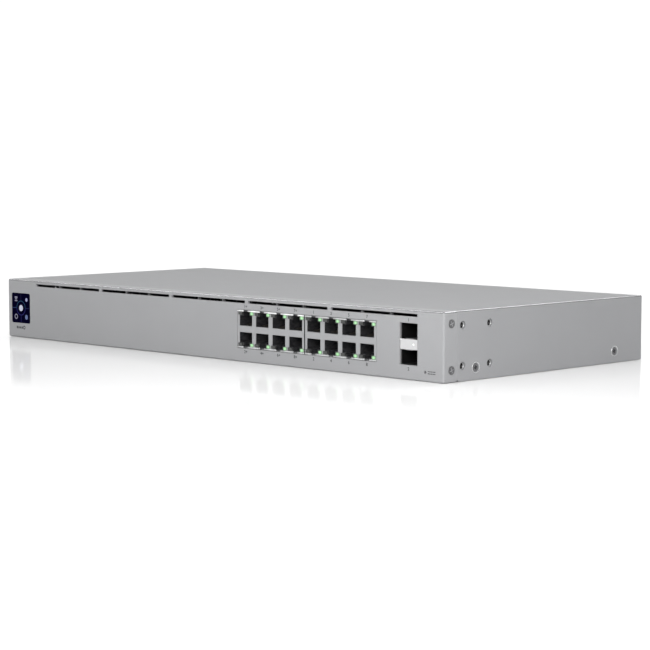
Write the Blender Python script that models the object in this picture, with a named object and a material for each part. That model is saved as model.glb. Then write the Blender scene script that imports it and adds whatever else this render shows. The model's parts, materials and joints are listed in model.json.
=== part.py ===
"""Rack network switch, one rack unit high: sixteen RJ45 sockets, two SFP bays and a touch screen.

Frame: origin at the bottom centre of the case, +X to the right seen from the front, +Y to the rear,
+Z up, in metres. Every piece keeps an air gap to its neighbours.
"""

from math import cos, hypot, pi, radians, sin

import bmesh
import bpy

MM = 0.001

# Case
WIDTH = 442.4 * MM
DEPTH = 200.0 * MM
HEIGHT = 43.7 * MM
FRONT = -DEPTH / 2
REAR = DEPTH / 2
SIDE = WIDTH / 2
GAP = 0.3 * MM
SEAM = 0.1 * MM
BEZEL_DEPTH = 12.0 * MM
BEZEL_FACE = 1.6 * MM
BEZEL_WALL = 0.8 * MM
BEZEL_RADIUS = 1.4 * MM
COVER_WALL = 0.8 * MM
COVER_RADIUS = 1.0 * MM
COVER_REAR_STEP = 2.2 * MM
COVER_LIFT = 0.2 * MM
CORNER_RELIEF = 1.2 * MM
TRAY_WALL = 1.0 * MM
TRAY_RADIUS = 0.8 * MM
TRAY_LIP = 8.0 * MM
TRAY_FRONT_SPACE = 0.4 * MM
TRAY_SIDE = SIDE - COVER_WALL - GAP
TRAY_TOP = HEIGHT - COVER_WALL - GAP
BEHIND_FACE = FRONT + BEZEL_FACE + GAP

# Vent slots, along the top of the bezel and in the rear wall
VENT_COUNT = 5
VENT_START = -185.6 * MM
VENT_LENGTH = 74.6 * MM
VENT_PITCH = 77.6 * MM
VENT_HEIGHT = 1.85 * MM
VENT_END_RADIUS = 0.4 * MM
VENT_Z = 40.25 * MM
VENT_DEPTH = 2.6 * MM
RIB_COUNT = 2
RIB_WIDTH = 1.1 * MM
RIB_BOTTOM = 38.4 * MM
RIB_DEPTH = 4.6 * MM
REAR_VENT_ROWS = (30.5 * MM, 36.5 * MM)
REAR_VENT_START = -95.0 * MM
REAR_VENT_LENGTH = 66.0 * MM
REAR_VENT_PITCH = 72.0 * MM
REAR_VENT_COUNT = 4
REAR_VENT_HEIGHT = 2.4 * MM

# Touch screen
SCREEN_X = -205.1 * MM
SCREEN_Z = 22.15 * MM
SCREEN_HOLE = 22.6 * MM
SCREEN_RADIUS = 1.5 * MM
SCREEN_RECESS = 0.15 * MM
GLASS_THICKNESS = 1.4 * MM
MODULE_SIZE = 24.0 * MM
MODULE_RADIUS = 1.0 * MM
MODULE_THICKNESS = 2.2 * MM
BRACKET_SHEET = 1.0 * MM
BRACKET_FOOT = 10.0 * MM
RIBBON_WIDTH = 8.0 * MM
RIBBON_THICKNESS = 0.4 * MM
RIBBON_DROP = 4.0 * MM
RIBBON_LANDING = 8.0 * MM
RIBBON_STEPS = 16

# RJ45 blocks, mirrored about ROW_MID
ROW_MID = 22.1 * MM
JACK_MID_X = 100.85 * MM
BLOCK_PITCH = 64.3 * MM
BLOCK_WIDTH = 63.7 * MM
BLOCK_HEIGHT = 25.3 * MM
BLOCK_DEPTH = 25.0 * MM
PORT_PITCH = 15.85 * MM
PORTS_PER_ROW = 4
JACK_RECESS = 0.15 * MM
WINDOW_CLEARANCE = 0.3 * MM
SHIELD_WALL = 0.35 * MM
SOCKET_HALF = 6.05 * MM
SOCKET_LOW = 2.15 * MM
SOCKET_HIGH = 9.2 * MM
SOCKET_DEPTH = 13.0 * MM
LATCH_HALF = 2.1 * MM
LATCH_MID_HALF = 2.9 * MM
LATCH_MID_HIGH = 11.5 * MM
LED_HALF = 7.55 * MM
LED_LOW = 9.3 * MM
LED_HIGH = 11.7 * MM
PIPE_OFFSET = 5.7 * MM
PIPE_WIDTH = 3.5 * MM
PIPE_HEIGHT = 1.9 * MM
PIPE_LENGTH = 20.0 * MM
PIPE_BAR = 2.0 * MM
CONTACT_PITCH = 1.02 * MM
CONTACT_WIDTH = 0.5 * MM
CONTACT_THICKNESS = 0.3 * MM
CONTACT_COUNT = 8
CONTACT_START = 3.0 * MM
CONTACT_RISE = (0.6 * MM, 1.7 * MM)
CARRIER_LENGTH = 1.1 * MM
MOULD_GAP = 0.25 * MM
HOUSING_SETBACK = 1.0 * MM
MOULD_EASE = 0.1 * MM
GROOVE_WALL = 0.45 * MM
CONTACT_SLOT = 2.2 * MM

# SFP cage
SFP_X = 192.2 * MM
SFP_WIDTH = 14.2 * MM
SFP_BOTTOM = 9.6 * MM
SFP_TOP = 35.0 * MM
SFP_WALL = 0.3 * MM
SFP_DEPTH = 48.0 * MM
BAND_BOTTOM = 18.9 * MM
BAND_TOP = 25.3 * MM
LATCH_WIDTH = 6.2 * MM
LATCH_LENGTH = 12.0 * MM
LATCH_LIP = 0.5 * MM
LATCH_TIP = 0.5 * MM
LATCH_RAMP = 1.6 * MM
LATCH_SPACE = 0.05 * MM
CAGE_BACK = 1.0 * MM
CONNECTOR_LENGTH = 9.0 * MM
CONNECTOR_HEIGHT = 5.0 * MM
CONNECTOR_LIFT = 1.2 * MM
CONNECTOR_WALL = 1.0 * MM
CARD_SLOT = (2.0 * MM, 3.2 * MM)
CARD_SLOT_END = 3.0 * MM

# Reset button
RESET_X = 206.0 * MM
RESET_Z = 5.9 * MM
PINHOLE_RADIUS = 0.9 * MM
PLUNGER_RADIUS = 0.7 * MM
PLUNGER_REACH = (-0.8 * MM, 1.5 * MM)
PLUNGER_EASE = 0.1 * MM
PLUNGER_SIDES = 12
SWITCH_HALF = 3.0 * MM
SWITCH_DEPTH = 3.5 * MM
SWITCH_DROP = 2.6 * MM
SWITCH_SETBACK = 0.9 * MM
SWITCH_BORE = 2.0 * MM

# Side wall: screws and rack-ear holes, as (distance behind the front, height)
BEZEL_SCREWS = ((7.3 * MM, 36.1 * MM), (7.3 * MM, 7.6 * MM))
COVER_SCREWS = ((29.7 * MM, 7.9 * MM), (170.5 * MM, 7.9 * MM))
EAR_HOLES = tuple((y * MM, z * MM) for y in (17.3, 42.7) for z in (9.65, 34.7))
EAR_HOLE_RADIUS = 2.55 * MM
EAR_NUT_RADIUS = 3.8 * MM
EAR_NUT_HOLE = 2.05 * MM
EAR_NUT_LENGTH = 3.0 * MM
SCREW_HEAD = 2.75 * MM
SCREW_NECK = 2.0 * MM
SCREW_SHANK = 1.4 * MM
SCREW_LENGTH = 5.0 * MM
SCREW_CLEARANCE = 0.3 * MM
DIMPLE_MARGIN = 0.65 * MM
BEZEL_SCREW_SUNK = 0.1 * MM
COVER_SCREW_SUNK = 0.3 * MM
HEAD_DEPTH = 0.65 * MM
CROSS_BLADE = 0.35 * MM
CROSS_REACH = 1.5 * MM
CROSS_DEPTH = 0.45 * MM

# Boards
BOARD_BOTTOM = 7.4 * MM
BOARD_THICKNESS = 1.6 * MM
BOARD_TOP = BOARD_BOTTOM + BOARD_THICKNESS
MAIN_BOARD = ((-62.0 * MM, 214.0 * MM), (-97.4 * MM, 45.0 * MM))
MAIN_SUPPORTS = tuple((x * MM, y * MM) for x, y in ((-56, -82), (175, -82), (-56, 38), (207, 38)))
POWER_BOARD = ((-214.0 * MM, -86.0 * MM), (-36.0 * MM, 82.0 * MM))
POWER_SUPPORTS = tuple((x * MM, y * MM) for x, y in ((-207, -30), (-93, -30), (-93, 60), (-207, 60)))
SUPPORT_RADIUS = 3.0 * MM
SUPPORT_NECK = 1.4 * MM
SUPPORT_BARB = 2.3 * MM
SUPPORT_HEAD = 3.0 * MM
SUPPORT_REST = 0.1 * MM
BOARD_HOLE = 1.75 * MM
CHIP_CHAMFER = 0.25 * MM
CHIP_EDGE = 0.1 * MM
SINK_BASE = 2.0 * MM
FIN_SHARE = 0.4

# Main board chips, as (X, Y), (width, length), height
SWITCH_CHIP = ((100 * MM, -25 * MM), (27 * MM, 27 * MM), 2.0 * MM)
PROCESSOR_CHIP = ((20 * MM, -15 * MM), (15 * MM, 15 * MM), 1.4 * MM)
MEMORY_CHIP = ((-8 * MM, -15 * MM), (9 * MM, 13 * MM), 1.1 * MM)
SWITCH_SINK = (40 * MM, 40 * MM, 14 * MM)
SWITCH_SINK_FINS = 8

# Power board: transformer, capacitors, choke, heat sink and sheet
TRANSFORMER_SPOT = (-128 * MM, 0)
CORE_HALF = (16 * MM, 8 * MM)
CORE_HEIGHTS = (3 * MM, 24 * MM)
BOBBIN_HALF = (15 * MM, 13 * MM)
BOBBIN_HEIGHT = 5 * MM
WINDING_RADIUS = 12 * MM
WINDING_HEIGHTS = (4 * MM, 21 * MM)
CAPACITORS = (
    ("input_capacitor", (-192 * MM, -8 * MM), 9 * MM, 28 * MM),
    ("output_capacitor", (-98 * MM, 30 * MM), 6 * MM, 22 * MM),
)
CAN_BEAD = 1.2 * MM
CAN_GROOVE = 0.5 * MM
CAN_GROOVE_HEIGHTS = (2.0 * MM, 2.6 * MM, 3.2 * MM)
CHOKE_SPOT = (-192 * MM, 28 * MM)
CHOKE_RADII = (8 * MM, 3.5 * MM)
CHOKE_STEPS = (20, 8)
POWER_SINK_SPOT = (-160 * MM, -10 * MM)
POWER_SINK = (18 * MM, 36 * MM, 24 * MM)
POWER_SINK_FINS = 4
SHEET_MARGIN = 3 * MM
SHEET_THICKNESS = 0.5 * MM

# Wire bundle between the boards
HARNESS_RADIUS = 1.6 * MM
HARNESS_STEPS = 14
HARNESS_INSET = 4 * MM
HARNESS_LIFT = 3 * MM
HARNESS_RISE = 6 * MM
HARNESS_DRIFT = 8 * MM

# Mains inlet
INLET_X = -172.0 * MM
INLET_Z = 20.5 * MM
INLET_WIDTH = 27.4 * MM
INLET_HEIGHT = 20.4 * MM
INLET_LENGTH = 21.0 * MM
INLET_MOUTH_WIDTH = 24.2 * MM
INLET_MOUTH_HEIGHT = 15.8 * MM
INLET_MOUTH_DEPTH = 16.0 * MM
INLET_CHAMFER = 4.0 * MM
PIN_SPACING = 7.0 * MM
PIN_SIZE = (2.0 * MM, 4.0 * MM)
PIN_RISE = 1.5 * MM
PIN_SETBACK = {"live": 2.5 * MM, "earth": 1.5 * MM, "neutral": 2.5 * MM}
PIN_TIP_RADIUS = 0.5 * MM
INLET_SUNK = 0.2 * MM
GROUND_SCREW = (-138.0 * MM, 20.5 * MM)

ARC_STEPS = 4
ROUND_SIDES = 16
NUT_SIDES = 10
SUPPORT_SIDES = 12

# Materials: colour, roughness, metallic
FINISHES = {
    "silver_paint": ((0.55, 0.555, 0.565), 0.45, 0.6),
    "tinned_steel": ((0.62, 0.63, 0.64), 0.35, 0.9),
    "bright_steel": ((0.85, 0.85, 0.86), 0.2, 1.0),
    "black_glass": ((0.01, 0.012, 0.02), 0.08, 0.0),
    "black_plastic": ((0.015, 0.015, 0.017), 0.5, 0.0),
    "gold_plate": ((0.83, 0.62, 0.22), 0.25, 1.0),
    "clear_plastic": ((0.75, 0.9, 0.78), 0.2, 0.0),
    "screw_steel": ((0.35, 0.35, 0.36), 0.4, 0.9),
    "board_green": ((0.02, 0.11, 0.06), 0.5, 0.0),
    "chip_black": ((0.02, 0.02, 0.022), 0.6, 0.0),
    "aluminium": ((0.6, 0.61, 0.62), 0.4, 1.0),
    "copper_wire": ((0.6, 0.3, 0.12), 0.4, 0.6),
    "amber_film": ((0.55, 0.3, 0.06), 0.4, 0.0),
    "red_wire": ((0.5, 0.03, 0.02), 0.5, 0.0),
}


# ---------------------------------------------------------------- outlines and meshes


def rectangle(left, right, low, high):
    """Corners of a rectangle, counter-clockwise."""
    return [(left, low), (right, low), (right, high), (left, high)]


def arc(centre, radius, start, end, steps=ARC_STEPS):
    """Points on an arc between two angles in degrees."""
    angles = [radians(start + (end - start) * step / steps) for step in range(steps + 1)]
    return [(centre[0] + radius * cos(a), centre[1] + radius * sin(a)) for a in angles]


def rounded_rectangle(centre, width, height, radius, steps=4):
    """Outline of a rectangle with round corners."""
    points = []
    for quarter in range(4):
        side_x = 1 if quarter in (0, 3) else -1
        side_z = 1 if quarter < 2 else -1
        corner = (
            centre[0] + side_x * (width / 2 - radius),
            centre[1] + side_z * (height / 2 - radius),
        )
        points += arc(corner, radius, 90 * quarter, 90 * quarter + 90, steps)
    return points


def long_slot(left, length, height, middle):
    """Outline of a slot with round ends."""
    radius = height / 2
    right_end = arc((left + length - radius, middle), radius, -90, 90)
    return right_end + arc((left + radius, middle), radius, 90, 270)


def circle(centre, radius, sides=ROUND_SIDES):
    """Outline of a round hole."""
    return arc(centre, radius, 0, 360, sides)[:-1]


def in_space(u, v, w, axis):
    """A point from two outline coordinates and one along the axis of extrusion."""
    return {"X": (w, u, v), "Y": (u, w, v), "Z": (u, v, w)}[axis]


def add_prism(bm, outline, start, end, axis):
    """Add one closed body: an outline extruded along an axis."""
    rings = [[bm.verts.new(in_space(u, v, w, axis)) for u, v in outline] for w in (start, end)]
    faces = [bm.faces.new(rings[0]), bm.faces.new(rings[1])]
    for index in range(len(outline)):
        following = (index + 1) % len(outline)
        quad = (rings[0][index], rings[0][following], rings[1][following], rings[1][index])
        faces.append(bm.faces.new(quad))
    return faces


def add_box(bm, x, y, z):
    """Add one closed box from its three ranges."""
    return add_prism(bm, rectangle(x[0], x[1], y[0], y[1]), z[0], z[1], "Z")


def add_turned(bm, profile, centre, axis, sides=ROUND_SIDES):
    """Add one closed body turned from (radius, distance) points; both ends lie on the axis."""
    rings = []
    for radius, along in profile:
        if radius == 0:
            rings.append([bm.verts.new(in_space(centre[0], centre[1], along, axis))])
        else:
            ring = circle(centre, radius, sides)
            rings.append([bm.verts.new(in_space(u, v, along, axis)) for u, v in ring])
    for near, far in zip(rings, rings[1:]):
        for index in range(sides):
            following = (index + 1) % sides
            corners = [near[index % len(near)], near[following % len(near)]]
            corners += [far[following % len(far)], far[index % len(far)]]
            bm.faces.new(list(dict.fromkeys(corners)))


def finished_mesh(name, bm):
    """Turn a bmesh of closed bodies into a mesh with its faces pointing out."""
    bmesh.ops.recalc_face_normals(bm, faces=bm.faces)
    mesh = bpy.data.meshes.new(name)
    bm.to_mesh(mesh)
    bm.free()
    return mesh


def box_mesh(name, x, y, z):
    """A mesh of one box."""
    bm = bmesh.new()
    add_box(bm, x, y, z)
    return finished_mesh(name, bm)


def bevelled_box(name, x, y, z, radius, chosen, segments=3):
    """A box with the edges rounded for which chosen(middle, direction) is true."""
    bm = bmesh.new()
    add_box(bm, x, y, z)
    edges = []
    for edge in bm.edges:
        middle = (edge.verts[0].co + edge.verts[1].co) / 2
        direction = edge.verts[1].co - edge.verts[0].co
        if chosen(middle, direction):
            edges.append(edge)
    bmesh.ops.bevel(
        bm, geom=edges, offset=radius, offset_type="OFFSET", segments=segments, profile=0.5,
        affect="EDGES", clamp_overlap=True,
    )
    return finished_mesh(name, bm)


# ---------------------------------------------------------------- objects


def clear_scene():
    """Remove every object of the file this runs in."""
    for obj in list(bpy.data.objects):
        bpy.data.objects.remove(obj, do_unlink=True)


def make_material(name, finish):
    """A Principled material from the table of finishes."""
    colour, roughness, metallic = FINISHES[finish]
    material = bpy.data.materials.new(name)
    material.use_nodes = True
    shader = material.node_tree.nodes["Principled BSDF"]
    shader.inputs["Base Color"].default_value = (*colour, 1)
    shader.inputs["Roughness"].default_value = roughness
    shader.inputs["Metallic"].default_value = metallic
    return material


def place(name, mesh, finish, parent, location=(0, 0, 0)):
    """One named sub-part with a material of its own."""
    obj = bpy.data.objects.new(name, mesh)
    mesh.materials.clear()
    mesh.materials.append(make_material(name, finish))
    bpy.context.scene.collection.objects.link(obj)
    obj.parent = parent
    obj.location = location
    mesh.shade_smooth()
    mesh.set_sharp_from_angle(angle=radians(40))
    return obj


def combine(target, bm, operation):
    """Join or cut a sub-part with the closed bodies of a bmesh, in the sub-part's own axes."""
    tool = bpy.data.objects.new(target.name + "_" + operation.lower(), finished_mesh("tool", bm))
    bpy.context.scene.collection.objects.link(tool)
    tool.parent = target
    tool.hide_render = True
    tool.display_type = "WIRE"
    modifier = target.modifiers.new(operation.title(), "BOOLEAN")
    modifier.operation = operation
    modifier.solver = "EXACT"
    modifier.object = tool


def empty(name, parent=None, location=(0, 0, 0)):
    """A plain frame to hang sub-parts from."""
    obj = bpy.data.objects.new(name, None)
    bpy.context.scene.collection.objects.link(obj)
    obj.parent = parent
    obj.location = location
    return obj


# ---------------------------------------------------------------- case


def block_centres():
    """Middles of the two RJ45 blocks along X."""
    return (JACK_MID_X - BLOCK_PITCH / 2, JACK_MID_X + BLOCK_PITCH / 2)


def port_offsets():
    """Middles of a block's sockets from the block's own middle."""
    return [PORT_PITCH * (index - (PORTS_PER_ROW - 1) / 2) for index in range(PORTS_PER_ROW)]


def side_holes(bm, places, radius_out, radius_in, outer, inner):
    """Add a round cutter, wide outside and narrow inside, at each place on both sides."""
    for sign in (-1, 1):
        for back, height in places:
            start = sign * (outer + GAP)
            seat = sign * inner
            deep = sign * (inner - 2 * COVER_WALL)
            profile = [(0, start), (radius_out, start), (radius_in, seat), (radius_in, deep), (0, deep)]
            add_turned(bm, profile, (FRONT + back, height), "X")


def make_front_bezel(frame):
    """Pressed cap over the front, with the windows for the screen, sockets and bays."""

    def rounded(middle, direction):
        across = abs(direction.x) > GAP or abs(direction.z) > GAP
        return middle.y < FRONT + GAP if across else True

    back = FRONT + BEZEL_DEPTH
    mesh = bevelled_box(
        "front_bezel", (-SIDE, SIDE), (FRONT, back), (0, HEIGHT), BEZEL_RADIUS, rounded
    )
    bezel = place("front_bezel", mesh, "silver_paint", frame)
    hollow = bmesh.new()
    inside = SIDE - BEZEL_WALL
    add_box(
        hollow, (-inside, inside), (FRONT + BEZEL_FACE, back + GAP), (BEZEL_WALL, HEIGHT - BEZEL_WALL)
    )
    combine(bezel, hollow, "DIFFERENCE")

    ribs = bmesh.new()
    for slot in range(VENT_COUNT):
        for index in range(1, RIB_COUNT + 1):
            middle = VENT_START + slot * VENT_PITCH + VENT_LENGTH * index / (RIB_COUNT + 1)
            add_box(
                ribs,
                (middle - RIB_WIDTH / 2, middle + RIB_WIDTH / 2),
                (FRONT + BEZEL_FACE / 2, FRONT + RIB_DEPTH),
                (RIB_BOTTOM, HEIGHT - BEZEL_WALL / 2),
            )
    combine(bezel, ribs, "UNION")

    windows = bmesh.new()
    ahead = FRONT - GAP
    behind = FRONT + BEZEL_FACE + GAP
    for slot in range(VENT_COUNT):
        middle = (VENT_START + slot * VENT_PITCH + VENT_LENGTH / 2, VENT_Z)
        outline = rounded_rectangle(middle, VENT_LENGTH, VENT_HEIGHT, VENT_END_RADIUS, 2)
        add_prism(windows, outline, ahead, FRONT + VENT_DEPTH, "Y")
    outline = rounded_rectangle((SCREEN_X, SCREEN_Z), SCREEN_HOLE, SCREEN_HOLE, SCREEN_RADIUS)
    add_prism(windows, outline, ahead, behind, "Y")
    half = (BLOCK_PITCH + BLOCK_WIDTH) / 2 + WINDOW_CLEARANCE
    tall = BLOCK_HEIGHT / 2 + WINDOW_CLEARANCE
    outline = rectangle(JACK_MID_X - half, JACK_MID_X + half, ROW_MID - tall, ROW_MID + tall)
    add_prism(windows, outline, ahead, behind, "Y")
    half = SFP_WIDTH / 2 + WINDOW_CLEARANCE
    low = SFP_BOTTOM - WINDOW_CLEARANCE
    outline = rectangle(SFP_X - half, SFP_X + half, low, SFP_TOP + WINDOW_CLEARANCE)
    add_prism(windows, outline, ahead, behind, "Y")
    add_prism(windows, circle((RESET_X, RESET_Z), PINHOLE_RADIUS), ahead, behind, "Y")
    radius_out = SCREW_HEAD + DIMPLE_MARGIN
    radius_in = SCREW_NECK + SCREW_CLEARANCE
    side_holes(windows, BEZEL_SCREWS, radius_out, radius_in, SIDE, SIDE - BEZEL_WALL)
    combine(bezel, windows, "DIFFERENCE")
    return bezel


def make_top_cover(frame):
    """Folded U: the top and the two side skirts, which hold the rack-ear screw holes."""
    outer = [(-SIDE, COVER_LIFT)]
    outer += list(reversed(arc((-SIDE + COVER_RADIUS, HEIGHT - COVER_RADIUS), COVER_RADIUS, 90, 180)))
    outer += list(reversed(arc((SIDE - COVER_RADIUS, HEIGHT - COVER_RADIUS), COVER_RADIUS, 0, 90)))
    outer.append((SIDE, COVER_LIFT))
    inside = SIDE - COVER_WALL
    under = HEIGHT - COVER_WALL
    inner = [(inside, COVER_LIFT), (inside, under), (-inside, under), (-inside, COVER_LIFT)]
    start = FRONT + BEZEL_DEPTH + SEAM
    bm = bmesh.new()
    add_prism(bm, outer + inner, start, REAR, "Y")
    cover = place("top_cover", finished_mesh("top_cover", bm), "silver_paint", frame)
    holes = bmesh.new()
    corner = (start - GAP, start + CORNER_RELIEF)
    for sign in (-1, 1):
        across = sorted((sign * (SIDE + GAP), sign * (inside - GAP)))
        add_box(holes, across, corner, (0, COVER_LIFT + CORNER_RELIEF))
    rear_strip = (REAR - COVER_REAR_STEP, REAR + GAP)
    add_box(holes, (-inside, inside), rear_strip, (under - GAP, HEIGHT + GAP))
    side_holes(holes, EAR_HOLES, EAR_HOLE_RADIUS, EAR_HOLE_RADIUS, SIDE, inside)
    radius_out = SCREW_HEAD + DIMPLE_MARGIN
    radius_in = SCREW_NECK + SCREW_CLEARANCE
    side_holes(holes, COVER_SCREWS, radius_out, radius_in, SIDE, inside)
    combine(cover, holes, "DIFFERENCE")
    return cover


def tray_sheet():
    """The tray's outer skin, folded from one sheet: bottom, two sides, rear wall and its lip."""
    front = BEHIND_FACE + TRAY_FRONT_SPACE
    flange_end = FRONT + BEZEL_DEPTH + GAP
    under_bezel = BEZEL_WALL + GAP
    lip_edge = REAR - TRAY_LIP
    profile = {
        "bottom_front": (flange_end, 0),
        "step": (flange_end, under_bezel),
        "front_low": (front, under_bezel),
        "front_high": (front, TRAY_TOP),
        "lip_front": (lip_edge, TRAY_TOP),
        "lip_rear": (REAR, TRAY_TOP),
        "bottom_rear": (REAR, 0),
    }
    bm = bmesh.new()
    corners = {}
    for sign in (-1, 1):
        for name, (y, z) in profile.items():
            corners[(name, sign)] = bm.verts.new((sign * TRAY_SIDE, y, z))
        bm.faces.new([corners[(name, sign)] for name in profile])
    folds = []
    for first, second in (
        ("bottom_front", "bottom_rear"), ("bottom_rear", "lip_rear"), ("lip_rear", "lip_front")
    ):
        quad = [corners[(first, -1)], corners[(first, 1)], corners[(second, 1)], corners[(second, -1)]]
        bm.faces.new(quad)
        folds.append(bm.edges.get((corners[(second, -1)], corners[(second, 1)])))
        folds += [bm.edges.get((corners[(first, s)], corners[(second, s)])) for s in (-1, 1)]
    folds = [edge for edge in folds if len(edge.link_faces) == 2]
    bmesh.ops.recalc_face_normals(bm, faces=bm.faces)
    bmesh.ops.bevel(
        bm, geom=folds, offset=TRAY_RADIUS, offset_type="OFFSET", segments=2, profile=0.5,
        affect="EDGES", clamp_overlap=True,
    )
    mesh = bpy.data.meshes.new("base_tray")
    bm.to_mesh(mesh)
    bm.free()
    return mesh


def make_base_tray(frame):
    """Folded tray: bottom, side walls with press-in nuts, rear wall with a lip."""
    tray = place("base_tray", tray_sheet(), "silver_paint", frame)
    inside = TRAY_SIDE - TRAY_WALL
    thicken = tray.modifiers.new("Sheet", "SOLIDIFY")
    thicken.thickness = TRAY_WALL
    thicken.offset = -1
    thicken.use_even_offset = True

    nuts = bmesh.new()
    for sign in (-1, 1):
        for back, height in EAR_HOLES:
            outer = sign * (TRAY_SIDE - TRAY_WALL / 2)
            deep = sign * (inside - EAR_NUT_LENGTH)
            profile = [(0, outer), (EAR_NUT_RADIUS, outer), (EAR_NUT_RADIUS, deep), (0, deep)]
            add_turned(nuts, profile, (FRONT + back, height), "X", NUT_SIDES)
    combine(tray, nuts, "UNION")

    holes = bmesh.new()
    for sign in (-1, 1):
        for back, height in EAR_HOLES:
            add_prism(
                holes, circle((FRONT + back, height), EAR_NUT_HOLE, NUT_SIDES), sign * SIDE,
                sign * (inside - EAR_NUT_LENGTH - GAP), "X",
            )
        for back, height in BEZEL_SCREWS + COVER_SCREWS:
            outline = circle((FRONT + back, height), SCREW_SHANK + SCREW_CLEARANCE, NUT_SIDES)
            add_prism(holes, outline, sign * SIDE, sign * (inside - GAP), "X")
    through = (REAR - TRAY_WALL - GAP, REAR + GAP)
    for height in REAR_VENT_ROWS:
        for index in range(REAR_VENT_COUNT):
            left = REAR_VENT_START + index * REAR_VENT_PITCH
            outline = long_slot(left, REAR_VENT_LENGTH, REAR_VENT_HEIGHT, height)
            add_prism(holes, outline, *through, "Y")
    add_prism(holes, inlet_outline(INLET_WIDTH + 2 * GAP, INLET_HEIGHT + 2 * GAP), *through, "Y")
    start = REAR + GAP
    seat = REAR - TRAY_WALL
    radius_out = SCREW_HEAD + DIMPLE_MARGIN
    radius_in = SCREW_NECK + SCREW_CLEARANCE
    profile = [(0, start), (radius_out, start), (radius_in, seat), (radius_in, seat - GAP), (0, seat - GAP)]
    add_turned(holes, profile, GROUND_SCREW, "Y")
    combine(tray, holes, "DIFFERENCE")
    return tray


def screw_mesh(name):
    """Flat-head screw, its head's top at the origin and its shank along -Z, with a cross recess."""
    bm = bmesh.new()
    profile = [
        (0, 0),
        (SCREW_HEAD, 0),
        (SCREW_NECK, -HEAD_DEPTH),
        (SCREW_SHANK, -HEAD_DEPTH),
        (SCREW_SHANK, -SCREW_LENGTH),
        (0, -SCREW_LENGTH),
    ]
    add_turned(bm, profile, (0, 0), "Z")
    return finished_mesh(name, bm)


def add_cross_recess(screw):
    """Cut the cross recess of a screw."""
    points = []
    for quarter in range(4):
        for u, v in ((CROSS_REACH, -CROSS_BLADE), (CROSS_REACH, CROSS_BLADE), (CROSS_BLADE, CROSS_BLADE)):
            turn = quarter * pi / 2
            points.append((u * cos(turn) - v * sin(turn), u * sin(turn) + v * cos(turn)))
    recess = bmesh.new()
    add_prism(recess, points, -CROSS_DEPTH, GAP, "Z")
    combine(screw, recess, "DIFFERENCE")


def make_side_screws(frame):
    """Bezel and cover screws in the side walls."""
    screws = (
        ("bezel_screw", "upper", BEZEL_SCREWS[0], BEZEL_SCREW_SUNK),
        ("bezel_screw", "lower", BEZEL_SCREWS[1], BEZEL_SCREW_SUNK),
        ("cover_screw", "front", COVER_SCREWS[0], COVER_SCREW_SUNK),
        ("cover_screw", "rear", COVER_SCREWS[1], COVER_SCREW_SUNK),
    )
    for side_name, sign in (("left", -1), ("right", 1)):
        for kind, label, (back, height), sunk in screws:
            name = f"{kind}_{side_name}_{label}"
            spot = (sign * (SIDE - sunk), FRONT + back, height)
            screw = place(name, screw_mesh(name), "screw_steel", frame, spot)
            screw.rotation_euler = (0, sign * pi / 2, 0)
            add_cross_recess(screw)


# ---------------------------------------------------------------- touch screen


def make_screen(frame):
    """Glass, display module, bracket and ribbon of the touch screen."""
    spot = (SCREEN_X, FRONT, SCREEN_Z)
    glass_size = SCREEN_HOLE - 2 * GAP
    bm = bmesh.new()
    outline = rounded_rectangle((0, 0), glass_size, glass_size, SCREEN_RADIUS - GAP)
    glass_back = SCREEN_RECESS + GLASS_THICKNESS
    add_prism(bm, outline, SCREEN_RECESS, glass_back, "Y")
    place("screen_glass", finished_mesh("screen_glass", bm), "black_glass", frame, spot)

    half = MODULE_SIZE / 2
    module_front = max(glass_back, BEZEL_FACE) + GAP
    module_back = module_front + MODULE_THICKNESS
    bm = bmesh.new()
    add_prism(
        bm, rounded_rectangle((0, 0), MODULE_SIZE, MODULE_SIZE, MODULE_RADIUS), module_front, module_back,
        "Y",
    )
    place("screen_module", finished_mesh("screen_module", bm), "black_plastic", frame, spot)

    plate_front = module_back + GAP
    plate_back = plate_front + BRACKET_SHEET
    foot_low = TRAY_WALL + GAP + BEZEL_WALL - SCREEN_Z
    foot = [
        (plate_front, foot_low),
        (plate_back + BRACKET_FOOT, foot_low),
        (plate_back + BRACKET_FOOT, foot_low + BRACKET_SHEET),
        (plate_back, foot_low + BRACKET_SHEET),
        (plate_back, half),
        (plate_front, half),
    ]
    bm = bmesh.new()
    add_prism(bm, foot, -half + BRACKET_SHEET, half, "X")
    place("screen_bracket", finished_mesh("screen_bracket", bm), "tinned_steel", frame, spot)

    start = (SCREEN_X + RIBBON_DROP, SCREEN_Z - RIBBON_DROP)
    end = (MAIN_BOARD[0][0] + RIBBON_LANDING, BOARD_TOP + GAP + RIBBON_THICKNESS)
    outline = strip_outline(eased_curve(start, end, RIBBON_STEPS), RIBBON_THICKNESS)
    bm = bmesh.new()
    near = FRONT + plate_back + GAP
    add_prism(bm, outline, near, near + RIBBON_WIDTH, "Y")
    place("screen_ribbon", finished_mesh("screen_ribbon", bm), "amber_film", frame)


def eased_curve(start, end, steps):
    """Points on a curve that leaves and arrives level."""
    points = []
    for step in range(steps + 1):
        t = step / steps
        ease = t * t * (3 - 2 * t)
        points.append((start[0] + (end[0] - start[0]) * t, start[1] + (end[1] - start[1]) * ease))
    return points


def strip_outline(points, thickness):
    """Closed outline of a thin strip along a line of points."""
    upper, lower = [], []
    for index, point in enumerate(points):
        before = points[max(index - 1, 0)]
        after = points[min(index + 1, len(points) - 1)]
        length = hypot(after[0] - before[0], after[1] - before[1])
        shift_u = -(after[1] - before[1]) / length * thickness / 2
        shift_v = (after[0] - before[0]) / length * thickness / 2
        upper.append((point[0] + shift_u, point[1] + shift_v))
        lower.append((point[0] - shift_u, point[1] - shift_v))
    return lower + upper[::-1]


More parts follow.
